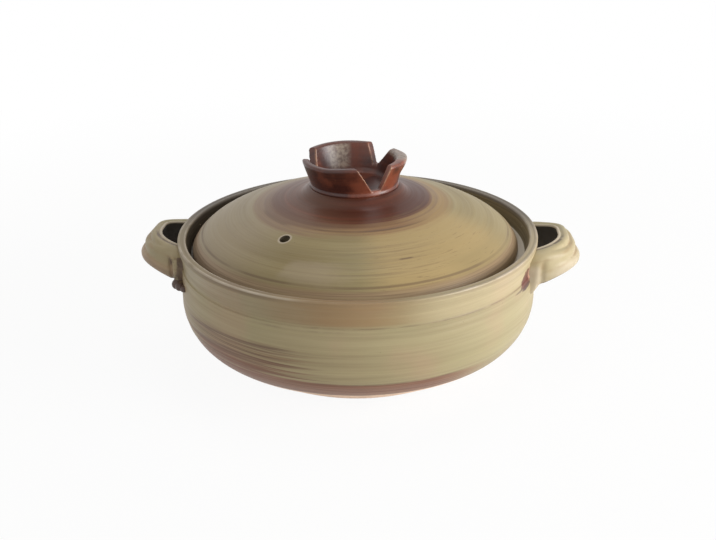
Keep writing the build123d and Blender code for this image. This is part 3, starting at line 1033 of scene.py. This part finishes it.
def knob_glaze(look, centre_x):
    """Satin iron glaze, warm where it is thin and pale where it runs off the cut edges."""
    glaze = ThrownGlaze("knob_glaze", centre_x, 1.0, 0.6)
    fine = glaze.streaks(26.0, 300.0, 0.4, 0.75)
    thin = glaze.patchy(52.0, 4.0, 0.48, 0.68)
    glaze.colour = glaze.mix(glaze.times(thin, 0.55), look.iron, look.iron_thin)
    glaze.coat(look.iron_thin, 0.22, fine)
    glaze.coat(look.iron_thin, 0.80, glaze.marked("rusty"), glaze.patchy(90.0, 4.0, 0.3, 0.6))
    glaze.coat(look.ochre, 0.35, glaze.pits(480.0, 0.28, 0.06))
    # Painted highlight inside the cup and on the right petal's top
    glaze.coat(look.ring, 0.52, glaze.marked("cup"), glaze.patchy(420.0, 4.0, 0.3, 0.7, 0.3, 1.0))
    glaze.coat(look.iron_break, glaze.marked("break"), glaze.patchy(380.0, 3.0, 0.25, 0.6, 0.35, 1.0))
    relief = glaze.plus(fine, glaze.times(glaze.cloud(700.0, 2.0), 0.5))
    return glaze.fire(glaze.ramp(thin, 0.0, 1.0, 0.34, 0.42), relief, 0.035 * mm)


def handle_glaze(look):
    """Olive glaze, pale on the ring, warm in the grooves, umber at the root coil, dark iron and painted
    shade inside the opening and under the strap, and painted shade over the left handle.
    """
    glaze = Glaze("handle_glaze")
    glaze.colour = glaze.mix(glaze.patchy(38.0, 3.0, 0.3, 0.7), look.olive, look.olive_light)
    # Painted shade: the left handle, away from the key lamp, is darkened
    left = glaze.ramp(glaze.split(glaze.place)[0], 20 * mm, -20 * mm)
    glaze.coat(look.streak, glaze.ramp(left, 0.0, 1.0, 0.06, 0.24))
    glaze.coat(look.green, 0.40, glaze.patchy(30.0, 3.0, 0.5, 0.72))
    warm = glaze.mix(left, look.ring, look.blush)
    glaze.coat(warm, 0.50, glaze.marked("blush"), glaze.patchy(46.0, 3.0, 0.32, 0.62))
    glaze.coat(look.ochre, 0.42, glaze.marked("groove"), glaze.patchy(110.0, 3.0, 0.3, 0.6))
    glaze.coat(look.umber, 0.85, glaze.marked("seam"), glaze.patchy(260.0, 3.0, 0.25, 0.5))
    # Dark iron and painted shade inside the opening and under the strap
    inner = glaze.marked("inner")
    glaze.coat(look.shade_and_iron_black, 0.96, inner)
    coil = glaze.plus(glaze.marked("coil"), glaze.sway(glaze.cloud(210.0, 4.0), 1.7))
    twisted = glaze.mix(glaze.patchy(260.0, 3.0, 0.35, 0.65), look.umber, look.streak)
    glaze.coat(twisted, glaze.ramp(coil, 0.3, 0.7, 0.0, 0.85))
    # Real clay lumps, and painted shade along the left strap's lower edge
    glaze.coat(look.umber, 0.95, glaze.marked("lump"))
    # The ring mark also carries the painted light on the right roots
    glaze.coat(look.ring, 0.65, glaze.marked("ring"))
    fine = glaze.cloud(240.0, 3.0)
    relief = glaze.plus(fine, glaze.times(glaze.cloud(800.0, 2.0), 0.3))
    roughness = glaze.plus(glaze.ramp(fine, 0.3, 0.7, 0.42, 0.52), glaze.times(inner, 0.4))
    return glaze.fire(roughness, relief, 0.12 * mm)


# Stage


def seen_directly(wires):
    """1 for the rays by which the camera, a mirror or glass sees the stage."""
    path = wires.node("ShaderNodeLightPath").outputs
    seen = wires.math("MAXIMUM", path["Is Camera Ray"], path["Is Glossy Ray"])
    return wires.math("MAXIMUM", seen, path["Is Transmission Ray"])


def pale_floor():
    """A pale floor that is seen as white, with the pot's faint shadow kept near it."""
    material = bpy.data.materials.new("pale_floor")
    material.use_nodes = True
    wires = Wires(material.node_tree)
    pale = wires.add("ShaderNodeBsdfDiffuse", {"Color": (0.86, 0.85, 0.83, 1)})
    white = wires.add("ShaderNodeEmission", {"Color": (1, 1, 1, 1), "Strength": 1.0})
    away = wires.distance(wires.add("ShaderNodeTexCoord", output="Object"))
    part = wires.times(seen_directly(wires), wires.ramp(away, 0.3, 0.8, 0.93, 1.0))
    floor = wires.add("ShaderNodeMixShader", {0: part, 1: pale, 2: white})
    wires.node("ShaderNodeOutputMaterial", {"Surface": floor})
    return material


def white_world(strength):
    """Even light from all round, seen as plain white."""
    world = bpy.data.worlds.new("Studio")
    world.use_nodes = True
    wires = Wires(world.node_tree)
    even, white = (
        wires.add("ShaderNodeBackground", {"Color": (1, 1, 1, 1), "Strength": level})
        for level in (strength, 1.0)
    )
    both = wires.add("ShaderNodeMixShader", {0: seen_directly(wires), 1: even, 2: white})
    wires.node("ShaderNodeOutputWorld", {"Surface": both})
    return world


# The bowl


class POT_OT_throw_bowl(Operator):
    """Throw the bowl: foot, belly, collar, lip and ledge"""

    bl_idname = "clay_pot.throw_bowl"
    bl_label = "Throw bowl"

    def execute(self, context):
        settings = context.scene.clay_pot
        size = settings.bowl
        top = size.rim_height
        ledge_height = top - size.ledge_drop
        ledge_radius = size.rim_radius - size.collar_inset - size.collar_wall
        ledge_inner = ledge_radius - size.ledge_width
        inner_reach = size.rim_radius - size.lip_width - 0.4 * mm

        def pressed(radius, height):
            if radius < ledge_radius + 1.0 * mm and height > ledge_height - 8 * mm:
                return 0.0
            return ramp(height, 6 * mm, 12 * mm) * fall(height, top - 9 * mm, top - 5 * mm)

        def inside(radius, height, outward, upward):
            between = size.foot_height + 1 * mm < height < top - 2.5 * mm
            return outward < 0.2 and radius < inner_reach and between

        def ledge(radius, height, outward, upward):
            level = abs(height - ledge_height) < 1.0 * mm and upward > 0.8
            return level and ledge_inner - 1 * mm < radius < ledge_radius + 1 * mm

        bowl = lathe("bowl", bowl_line(size))
        press_rings(bowl, 0.0, size.press_pitch, size.press_depth, pressed)
        smooth_shading(bowl, 40)
        mark_where(bowl, "inside", 0.0, inside)
        mark_where(bowl, "ledge", 0.0, ledge)
        bowl.data.materials.append(bowl_glaze(settings.glaze, size))
        settle(bowl, "pot", "olive_glaze", "pot_bowl")
        return {"FINISHED"}


# The handles, each pulled on the right and turned round the finger gap, from -90 to 90 degrees


# Turns from the tip: where the sizes of the root would be reached, and where the strap meets the wall
root_turn = radians(105)
wall_turn = radians(84)
line_points = 84
# Round edge along the opening, as shares of its width
ring_shares = ((0.0, -0.55), (0.08, -0.2), (0.3, -0.03), (0.55, 0.0), (0.8, -0.1), (1.0, -0.3))
# Outer line of the strap from its ring to its lower edge, as shares of its width and height: three
# rows of ridges at the tip, which fade into a plain face at the roots
tip_shares = (
    (0.0, 0.045), (0.14, 0.005), (0.33, 0.03), (0.41, 0.12), (0.42, 0.19), (0.425, 0.24), (0.6, 0.265),
    (0.74, 0.36), (0.76, 0.5), (0.755, 0.59), (0.84, 0.605), (0.985, 0.74), (1.0, 0.83), (0.97, 0.92),
    (0.78, 1.0),
)
root_shares = (
    (0.0, 0.03), (0.24, 0.0), (0.66, 0.035), (0.92, 0.15), (1.0, 0.35), (1.0, 0.63), (0.91, 0.89),
    (0.72, 1.0),
)
groove_shares = (0.235, 0.59)
# Lumps of clay at the left roots, in millimetres: out from the bowl's middle, across, down from the
# rim, and half sizes
left_lumps = (
    (124.0, 32.6, 30.4, 5.4, 4.8, 4.4),
    (122.2, 36.4, 30.2, 3.8, 5.6, 3.4),
    (118.0, 42.8, 29.4, 3.2, 4.4, 2.4),
    (127.0, 31.8, 11.0, 2.4, 2.4, 2.2),
)


def curve_through(points, count):
    """A smooth line through points, as a number of points that are spread evenly along it."""
    curve = []
    pieces = 12
    padded = [points[0], *points, points[-1]]
    for a, b, c, d in zip(padded, padded[1:], padded[2:], padded[3:]):
        a, b, c, d = Vector(a), Vector(b), Vector(c), Vector(d)
        bend = a - b * 2.5 + c * 2 - d / 2
        swing = (b - c) * 3 + d - a
        for n in range(pieces):
            t = n / pieces
            curve.append(b + (c - a) * t / 2 + bend * t**2 + swing * t**3 / 2)
    curve.append(Vector(points[-1]))
    reaches = [0.0]
    for start, end in zip(curve, curve[1:]):
        reaches.append(reaches[-1] + (end - start).length)
    line = []
    for n in range(count):
        wanted = reaches[-1] * n / (count - 1)
        at = max(k for k in range(len(curve) - 1) if reaches[k] <= wanted)
        part = (wanted - reaches[at]) / (reaches[at + 1] - reaches[at])
        line.append(curve[at].lerp(curve[at + 1], part))
    return line


tip_line = curve_through(tip_shares, line_points)
root_line = curve_through(root_shares, line_points)


def ease(tip, root, at):
    """A size that changes slowly near the tip of a handle and faster towards its root."""
    return tip + (root - tip) * at**2


def strap_frame(size, rim_height, angle, coiled):
    """Top height, height, thickness and lean of the strap in one direction from its middle."""
    at = abs(angle) / root_turn
    top = rim_height - ease(size.tip_drop, size.root_drop, at)
    if coiled:
        top -= ease(size.left_drop, size.left_root_drop, at)
    tall = ease(size.tip_height, size.root_height, at)
    thick = ease(size.tip_strap, size.root_strap, at)
    return top, tall, thick, ease(size.lean, 0.0, at)


def wall_distance(size, angle):
    """Distance round the strap from the wall of the bowl."""
    return (wall_turn - abs(angle)) * (size.gap + size.root_strap)


def inner_reach(size, angle, coiled):
    """Radius of the opening, which is squared out towards the back."""
    return size.gap - size.left_inset * coiled + size.bulge * bell(degrees(angle) - 36, 17)


def plainness(angle):
    """0 where the ridges are full, at the tip, and 1 where they have faded."""
    return ramp(abs(degrees(angle)), 10, 75)


def fold_share(distance, below, coiled):
    """Share of the upright fold beside a root, below the top of the strap."""
    if coiled:
        return bell(distance - 7.4 * mm, 1.3 * mm) * ramp(below, 5 * mm, 8 * mm)
    bend = 0.9 * mm * fall(below, 3 * mm, 9 * mm)
    return bell(distance - 7.0 * mm - bend, 2.0 * mm) * ramp(below, 2 * mm, 12 * mm)


def strap_loop(size, rim_height, angle, coiled):
    """One closed loop of the strap: ring, shoulder, outer face down over the ridges, inner face up."""
    top, tall, thick, lean = strap_frame(size, rim_height, angle, coiled)
    distance = wall_distance(size, angle)
    crease = size.crease * fall(distance, 0.2 * mm, 3.0 * mm)
    fold = size.coil_fold
    if not coiled:
        crease *= 0.3
        fold = size.fold
        tall += size.flange * fall(distance, 1 * mm, 9 * mm) ** 2
    ring = size.ring
    gap = inner_reach(size, angle, coiled)
    plain = plainness(angle)
    shoulder = 1.15 * ring
    width = thick + lean + size.ridge * (1 - plain) - shoulder
    points = [(gap + ring * out, top + ring * up) for out, up in ring_shares]
    for tip, root in zip(tip_line, root_line):
        out, down = tip.lerp(root, plain)
        below = down * tall
        dent = fold * fold_share(distance, below, coiled) + crease
        if coiled:
            dent -= 1.0 * mm * ramp(below, 6 * mm, 9 * mm) * fall(distance, 5.0 * mm, 7.0 * mm)
        points.append((gap + shoulder + width * out - dent * ramp(out, 0.3, 0.7), top - below))
    foot_out = points[-1][0]
    steps = 16
    for step in range(1, steps):
        down = 1 - step / steps
        out = min(gap + (lean + 0.25 * thick) * down, foot_out)
        points.append((out, top - tall * down - ring * 0.55 * (1 - down)))
    return points


def strap_marks(size, rim_height, middle_x, coiled, vertex):
    """What the glaze of a handle follows at a vertex, by the names that its material reads."""
    x, y, z = vertex.co
    angle = atan2(y, x - middle_x)
    turned = -degrees(angle)
    top, tall, _, _ = strap_frame(size, rim_height, angle, coiled)
    below = top - z
    drop = rim_height - z
    distance = wall_distance(size, angle)
    off_gap = hypot(x - middle_x, y) - inner_reach(size, angle, coiled)
    facing = vertex.normal.x * cos(angle) + vertex.normal.y * sin(angle)
    outer = ramp(facing, -0.1, 0.35)
    off_groove = min(abs(below - tall * down) for down in groove_shares)
    groove = outer * bell(off_groove, 0.9 * mm) * (1 - 0.6 * plainness(angle))
    fold = fold_share(distance, below, coiled) * outer
    seam = ramp(off_gap, 1.05 * size.ring, 1.3 * size.ring) * fall(off_gap, 3.8 * mm, 5.2 * mm)
    seam *= ramp(turned, 0, 25) * fall(below, 3 * mm, 5 * mm)
    ring = fall(off_gap, 0.9 * size.ring, 1.15 * size.ring) * fall(below, 0.5 * size.ring, size.ring)
    # Inner faces of the opening and the strap's underside: dark iron and painted shade
    inner = fall(facing, -0.75, -0.35) * ramp(below, 0.4 * size.ring, 0.8 * size.ring)
    under = fall(vertex.normal.z, -0.8, -0.4) * ramp(below, 0.8 * tall, 0.9 * tall)
    thin = outer * ramp(below / tall, 0.35, 0.8) * ramp(distance, 2 * mm, 8 * mm)
    marks = {"inner": max(inner, 0.6 * under), "groove": max(groove, 0.7 * fold), "blush": thin}
    if not coiled:
        # Painted light: the right root's flange, turned away from the key lamp, is paled
        painted_root_light = 0.75 * outer * fall(distance, 4.0 * mm, 7.5 * mm) * ramp(below, 6 * mm, 12 * mm)
        root = 0.5 * ramp(drop, 29 * mm, 33 * mm) * fall(distance, 1.0 * mm, 3.0 * mm)
        return {**marks, "seam": seam, "ring": max(ring, painted_root_light), "coil": root, "lump": 0.0}
    seam = max(seam, fold * (1 - 0.75 * ramp(below, 10 * mm, 14 * mm)))
    coil = outer * ramp(drop, 7.0 * mm, 14.0 * mm) * fall(distance, 4.6 * mm, 9.6 * mm)
    coil *= 0.85 * (0.55 + 0.45 * fall(distance, 1.6 * mm, 3.4 * mm))
    lump = ramp(drop, 25.5 * mm, 27.5 * mm) * fall(distance, 8.0 * mm, 10.0 * mm)
    # Painted shade along the strap's lower edge, and a fainter darker band above it towards the front
    lower_edge = 0.7 * ramp(below, tall - 2.2 * mm, tall - 0.8 * mm)
    above_it = 0.3 * ramp(below, tall - 8 * mm, tall - 5 * mm) * ramp(turned, 10, 45)
    lump = max(lump, outer * lower_edge, outer * above_it)
    return {**marks, "seam": seam, "ring": ring, "coil": coil, "lump": lump}


class POT_OT_pull_handles(Operator):
    """Pull the two strap handles and press their roots to the wall"""

    bl_idname = "clay_pot.pull_handles"
    bl_label = "Pull handles"

    def execute(self, context):
        glaze = handle_glaze(context.scene.clay_pot.glaze)
        self.pull("strap_right", "handle_right", False, glaze)
        self.pull("strap_left", "handle_left", True, glaze)
        return {"FINISHED"}

    def pull(self, name, node, coiled, glaze):
        """Pulls one handle on the right, and mirrors the one with the coiled roots to the left."""
        settings = bpy.context.scene.clay_pot
        size = settings.handle
        rim_height = settings.bowl.rim_height
        middle_x = settings.bowl.rim_radius - settings.bowl.collar_inset - size.sink
        handle = self.strap(name, size, rim_height, middle_x, coiled)
        if coiled:
            lumps = [self.lump(rim_height, root, *place) for root in (-1, 1) for place in left_lumps]
            alone(handle)
            for lump in lumps:
                lump.select_set(True)
            bpy.ops.object.join()
        self.turn_faces(handle, bpy.ops.mesh.normals_make_consistent)
        knead(handle, size.clay_grain, 4)
        marked = [strap_marks(size, rim_height, middle_x, coiled, v) for v in handle.data.vertices]
        for mark in marked[0]:
            store(handle, mark, [marks[mark] for marks in marked])
        if coiled:
            for vertex in handle.data.vertices:
                vertex.co.x = -vertex.co.x
            self.turn_faces(handle, bpy.ops.mesh.flip_normals)
        smooth_shading(handle, 60)
        handle.data.materials.append(glaze)
        settle(handle, "pot", "handle_glaze", node)

    def strap(self, name, size, rim_height, middle_x, coiled):
        """Extrudes a ring of points station by station, and lays each station on its loop."""
        end = radians(90)
        stations = 90
        angles = [-end + 2 * end * n / stations for n in range(stations + 1)]
        loops = [strap_loop(size, rim_height, angle, coiled) for angle in angles]
        count = len(loops[0])
        alone()
        bpy.ops.mesh.primitive_circle_add(vertices=count, radius=10 * mm, fill_type="NGON")
        handle = bpy.context.object
        handle.name = handle.data.name = name
        bpy.ops.object.mode_set(mode="EDIT")
        for _ in range(stations):
            bpy.ops.mesh.extrude_region_move(TRANSFORM_OT_translate={"value": (0, 0, 1 * mm)})
        bpy.ops.object.mode_set(mode="OBJECT")
        vertices = handle.data.vertices
        for index, (angle, loop) in enumerate(zip(angles, loops)):
            for slot, (out, up) in enumerate(loop):
                place = (middle_x + out * cos(angle), out * sin(angle), up)
                vertices[index * count + slot].co = place
        return handle

    def lump(self, rim_height, root, reach, across, drop, deep, wide, tall):
        """One pressed lump at the front or the back root, flattened underneath."""
        bpy.ops.mesh.primitive_uv_sphere_add(segments=32, ring_count=16, radius=1.0)
        lump = bpy.context.object
        for vertex in lump.data.vertices:
            x, y, z = vertex.co
            outward, sideways, upward = reach + x * deep, across + y * wide, max(z, -0.6) * tall - drop
            vertex.co = (outward * mm, root * sideways * mm, rim_height + upward * mm)
        return lump

    def turn_faces(self, handle, operator):
        """Runs an operator on all faces of a handle."""
        alone(handle)
        bpy.ops.object.mode_set(mode="EDIT")
        bpy.ops.mesh.select_all(action="SELECT")
        operator()
        bpy.ops.object.mode_set(mode="OBJECT")


# The lid


def lid_middle():
    """The lid's axis, which is a little to the left of the bowl's."""
    return (lid_low.x + lid_high.x) / 2


class POT_OT_throw_lid(Operator):
    """Throw the domed lid and bore its steam hole"""

    bl_idname = "clay_pot.throw_lid"
    bl_label = "Throw lid"

    def execute(self, context):
        settings = context.scene.clay_pot
        size = settings.lid
        middle = lid_middle()
        seat_top = lid_low.z + 5 * mm

        def pressed(radius, height):
            return ramp(radius, 36 * mm, 44 * mm) * ramp(height, seat_top, seat_top + 3 * mm)

        def inside(radius, height, outward, upward):
            return upward < -0.1 and radius < size.radius - 1.0 * mm and height < lid_high.z

        lid = lathe("lid", lid_line(size, settings.knob.skirt_radius - 0.1 * mm), middle)
        press_rings(lid, middle, size.press_pitch, size.press_depth, pressed)
        self.turn_ring(lid, size, middle)
        hole = (size.steam_reach * cos(size.steam_turn), size.steam_reach * sin(size.steam_turn))
        place = (middle + hole[0], hole[1], lid_high.z)
        bore = size.steam_hole / 2
        bpy.ops.mesh.primitive_cylinder_add(vertices=64, radius=bore, depth=80 * mm, location=place)
        cut_away(lid, bpy.context.object)
        smooth_shading(lid, 40)
        mark_where(lid, "inside", middle, inside)
        lid.data.materials.append(lid_glaze(settings.glaze, size, middle, hole))
        settle(lid, "lid", "lid_glaze", "lid_dome")
        return {"FINISHED"}

    def turn_ring(self, lid, size, middle):
        """Turns the shallow ring near the edge."""
        half_width = 1.1 * mm
        for vertex in lid.data.vertices:
            off = hypot(vertex.co.x - middle, vertex.co.y) - size.groove_radius
            if vertex.normal.z > 0 and abs(off) < 3 * half_width:
                vertex.co.z -= size.groove * bell(off, half_width)


# The knob


# Notches: direction, half width at the top and turn of the foot in degrees, then the width of the
# foot and the depth as shares of the largest, and how pale the outer and inner edges are
notches = (
    (55.5, 17.5, 4.0, 0.5, 0.82, 0.0, 0.35),
    (171.5, 16.5, 0.0, 0.5, 0.95, 0.0, 0.8),
    (298.8, 21.3, 3.5, 1.0, 1.0, 1.0, 0.15),
)
# Tops of the petals: direction in degrees and drop from the highest point in millimetres
petal_drops = (
    (0, 1.3), (38, 2.3), (73, 0.6), (115, 0.0), (156, 0.1), (187, 2.2), (230, 1.9), (274, 0.0), (318, 1.2),
    (360, 1.3),
)


def petal_drop(direction):
    """How far below the highest point the rim lies in one direction, from 0 to 360 degrees."""
    for (start, first), (end, second) in zip(petal_drops, petal_drops[1:]):
        if start <= direction <= end:
            return (first + (second - first) * ramp(direction, start, end)) * mm
    return 0.0


def towards(x, y, direction, low, high):
    """1 where a place lies in a direction, by the cosine of the angle between them."""
    return ramp(cos(atan2(y, x) - radians(direction)), low, high)


def notch_shape(size, half_width, foot_turn, foot_share, depth_share):
    """Foot height, foot shift, half foot, and how both widths grow upwards in one notch."""
    depth = size.notch_depth * depth_share
    half_foot = size.notch_foot * foot_share / 2
    shift = size.radius * sin(radians(foot_turn))
    spread = size.radius * sin(radians(half_width)) - half_foot
    return knob_high.z - depth, shift, half_foot, spread / depth, shift / depth


class POT_OT_throw_knob(Operator):
    """Throw the knob, shape its petals and cut the notches"""

    bl_idname = "clay_pot.throw_knob"
    bl_label = "Throw knob"

    def execute(self, context):
        settings = context.scene.clay_pot
        size = settings.knob
        middle = lid_middle()
        knob = lathe("knob", knob_line(size), middle)
        self.shape_petals(knob, size, middle)
        self.cut_notches(knob, size, middle)
        knead(knob, size.clay_grain, 3)
        self.mark_edges(knob, size, middle)
        self.mark_tones(knob, middle)
        smooth_shading(knob, 60)
        knob.data.materials.append(knob_glaze(settings.glaze, middle))
        settle(knob, "lid", "iron_glaze", "lid_knob")
        return {"FINISHED"}

    def shape_petals(self, knob, size, middle):
        """Makes the rim uneven, leans the petals out, and thickens the right one inwards."""
        foot, top = knob_low.z, knob_high.z
        for vertex in knob.data.vertices:
            x, y, z = vertex.co
            direction = degrees(atan2(y, x - middle)) % 360
            radius = hypot(x - middle, y)
            rise = ramp(z, foot + size.neck_height, top)
            right = max(0.0, cos(radians(direction - 8))) ** 4
            back_left = max(0.0, cos(radians(direction - 150))) ** 2
            inner = 0.0
            if z > foot + size.floor:
                inner = ramp(size.radius - 2.7 * mm - radius, -1.5 * mm, 1.5 * mm)
            radius += rise * (1.3 * right + 0.7 * back_left - 2.6 * inner * right) * mm
            x, y = radius * cos(radians(direction)), radius * sin(radians(direction))
            vertex.co = (middle + x, y, z - petal_drop(direction) * rise)

    def cut_notches(self, knob, size, middle):
        """Cuts the three notches with wedges."""
        for direction, *shape, _, _ in notches:
            low, shift, half_foot, opening, drift = notch_shape(size, *shape)
            bpy.ops.mesh.primitive_cube_add(size=2.0)
            wedge = bpy.context.object
            turned = Matrix.Rotation(radians(direction), 4, "Z")
            for vertex in wedge.data.vertices:
                outward, across, upward = vertex.co
                rise = 0.0 if upward < 0 else size.notch_depth + 20 * mm
                side = shift - drift * rise + (1 if across > 0 else -1) * (half_foot + opening * rise)
                place = Vector((0.0 if outward < 0 else 60 * mm, side, low + rise))
                vertex.co = turned @ place + Vector((middle, 0, 0))
            cut_away(knob, wedge)

    def mark_edges(self, knob, size, middle):
        """Marks the cut edges, where the glaze runs off and shows pale."""
        top = knob_high.z
        flare = (size.radius - size.neck_radius) / (top - knob_low.z - size.neck_height)
        values = []
        for vertex in knob.data.vertices:
            x, y, z = vertex.co.x - middle, vertex.co.y, vertex.co.z
            off_face = hypot(x, y) - size.radius + flare * (top - z)
            edge = 0.0
            for direction, *shape, outer_pale, inner_pale in notches:
                low, shift, half_foot, opening, drift = notch_shape(size, *shape)
                turned = radians(direction)
                outward = x * cos(turned) + y * sin(turned)
                across = y * cos(turned) - x * sin(turned)
                if outward < 0 or z < low - 1 * mm:
                    continue
                rise = max(0.0, z - low)
                off_cut = abs(across - shift + drift * rise) - half_foot - opening * rise
                outer = outer_pale * bell(off_face, 0.9 * mm)
                inner = inner_pale * bell(off_face + size.wall - 0.3 * mm, 0.9 * mm)
                edge = max(edge, bell(off_cut, 0.45 * mm) * max(outer, inner))
            values.append(edge)
        store(knob, "break", values)

    def mark_tones(self, knob, middle):
        """Marks the faces where the iron is rusty, and where a painted highlight goes inside the cup and on
        the right petal.
        """
        foot, top = knob_low.z, knob_high.z
        rusty, cup = [], []
        for vertex in knob.data.vertices:
            x, y, z = vertex.co.x - middle, vertex.co.y, vertex.co.z
            radius = hypot(x, y)
            inner = fall(radius, 30.5 * mm, 31.5 * mm)
            outer = ramp(radius, 27 * mm, 30 * mm) * ramp(z, foot + 3 * mm, foot + 8 * mm)
            front_right = outer * towards(x, y, -38, 0.78, 0.95)
            rusty.append(max(front_right, 0.6 * inner * towards(x, y, 78, 0.88, 0.98)))
            # Painted highlight on the back-left of the cup's inner wall and on the right petal's top
            left = inner * towards(x, y, 116, 0.94, 0.995) * ramp(z, foot + 6 * mm, foot + 10 * mm)
            right = towards(x, y, 12, 0.86, 0.97) * ramp(z, top - 6 * mm, top - 4 * mm)
            cup.append(max(left, right))
        store(knob, "rusty", rusty)
        store(knob, "cup", cup)


# The stage


class POT_OT_set_stage(Operator):
    """Set the camera, the pale floor and the soft lamps"""

    bl_idname = "clay_pot.set_stage"
    bl_label = "Set stage"

    def execute(self, context):
        stage = context.scene.clay_pot.stage
        turned = Matrix.Rotation(stage.camera_turn, 4, "Z")
        dipped = Matrix.Rotation(pi / 2 - stage.camera_dip, 4, "X")
        rolled = Matrix.Rotation(stage.camera_roll, 4, "Z")
        place = turned @ Vector((0, -stage.camera_reach, stage.camera_height))
        alone()
        bpy.ops.object.camera_add(location=place, rotation=(turned @ dipped @ rolled).to_euler())
        camera = bpy.context.object
        camera.data.sensor_width = 36.0
        camera.data.lens = stage.focal_length
        context.scene.camera = camera

        bpy.ops.mesh.primitive_plane_add(size=12.0)
        floor = bpy.context.object
        floor.name = floor.data.name = "floor"
        floor.data.materials.append(pale_floor())
        context.scene.world = white_world(stage.ambient)

        aim = Vector((0, 0, 0.06))
        lamps = (
            ("key", Vector((1.30, -0.38, 0.36)), 0.8, stage.key_power),
            ("fill", Vector((-0.9, -1.1, 0.9)), 1.0, stage.fill_power),
            ("top", Vector((0.1, 0.25, 1.3)), 0.5, stage.top_power),
        )
        for name, place, width, power in lamps:
            bpy.ops.object.light_add(type="AREA", location=place)
            lamp = bpy.context.object
            lamp.name = name
            lamp.rotation_euler = (aim - place).to_track_quat("-Z", "Y").to_euler()
            lamp.data.size = width
            lamp.data.energy = power
        context.scene.view_settings.view_transform = "Standard"
        return {"FINISHED"}


class POT_PT_panel(Panel):
    """Clay pot tools"""

    bl_idname = "POT_PT_panel"
    bl_label = "Clay pot"
    bl_space_type = "VIEW_3D"
    bl_region_type = "UI"
    bl_category = "Clay pot"

    def draw(self, context):
        """Lists the operators."""
        for operator in operators:
            self.layout.operator(operator.bl_idname)


operators = (POT_OT_set_stage, POT_OT_throw_bowl, POT_OT_pull_handles, POT_OT_throw_lid, POT_OT_throw_knob)
settings_classes = (BowlSizes, HandleSizes, LidSizes, KnobSizes, Glazes, StageSettings, ClayPot)
classes = (*settings_classes, *operators, POT_PT_panel)


def register():
    """Registers the classes and the settings of the scene."""
    for cls in classes:
        bpy.utils.register_class(cls)
    bpy.types.Scene.clay_pot = PointerProperty(type=ClayPot)


def unregister():
    """Takes the settings and the classes away again."""
    del bpy.types.Scene.clay_pot
    for cls in reversed(classes):
        bpy.utils.unregister_class(cls)


def main():
    register()
    bpy.ops.clay_pot.set_stage()
    bpy.ops.clay_pot.throw_bowl()
    bpy.ops.clay_pot.pull_handles()
    bpy.ops.clay_pot.throw_lid()
    bpy.ops.clay_pot.throw_knob()


if __name__ == "__main__":
    main()
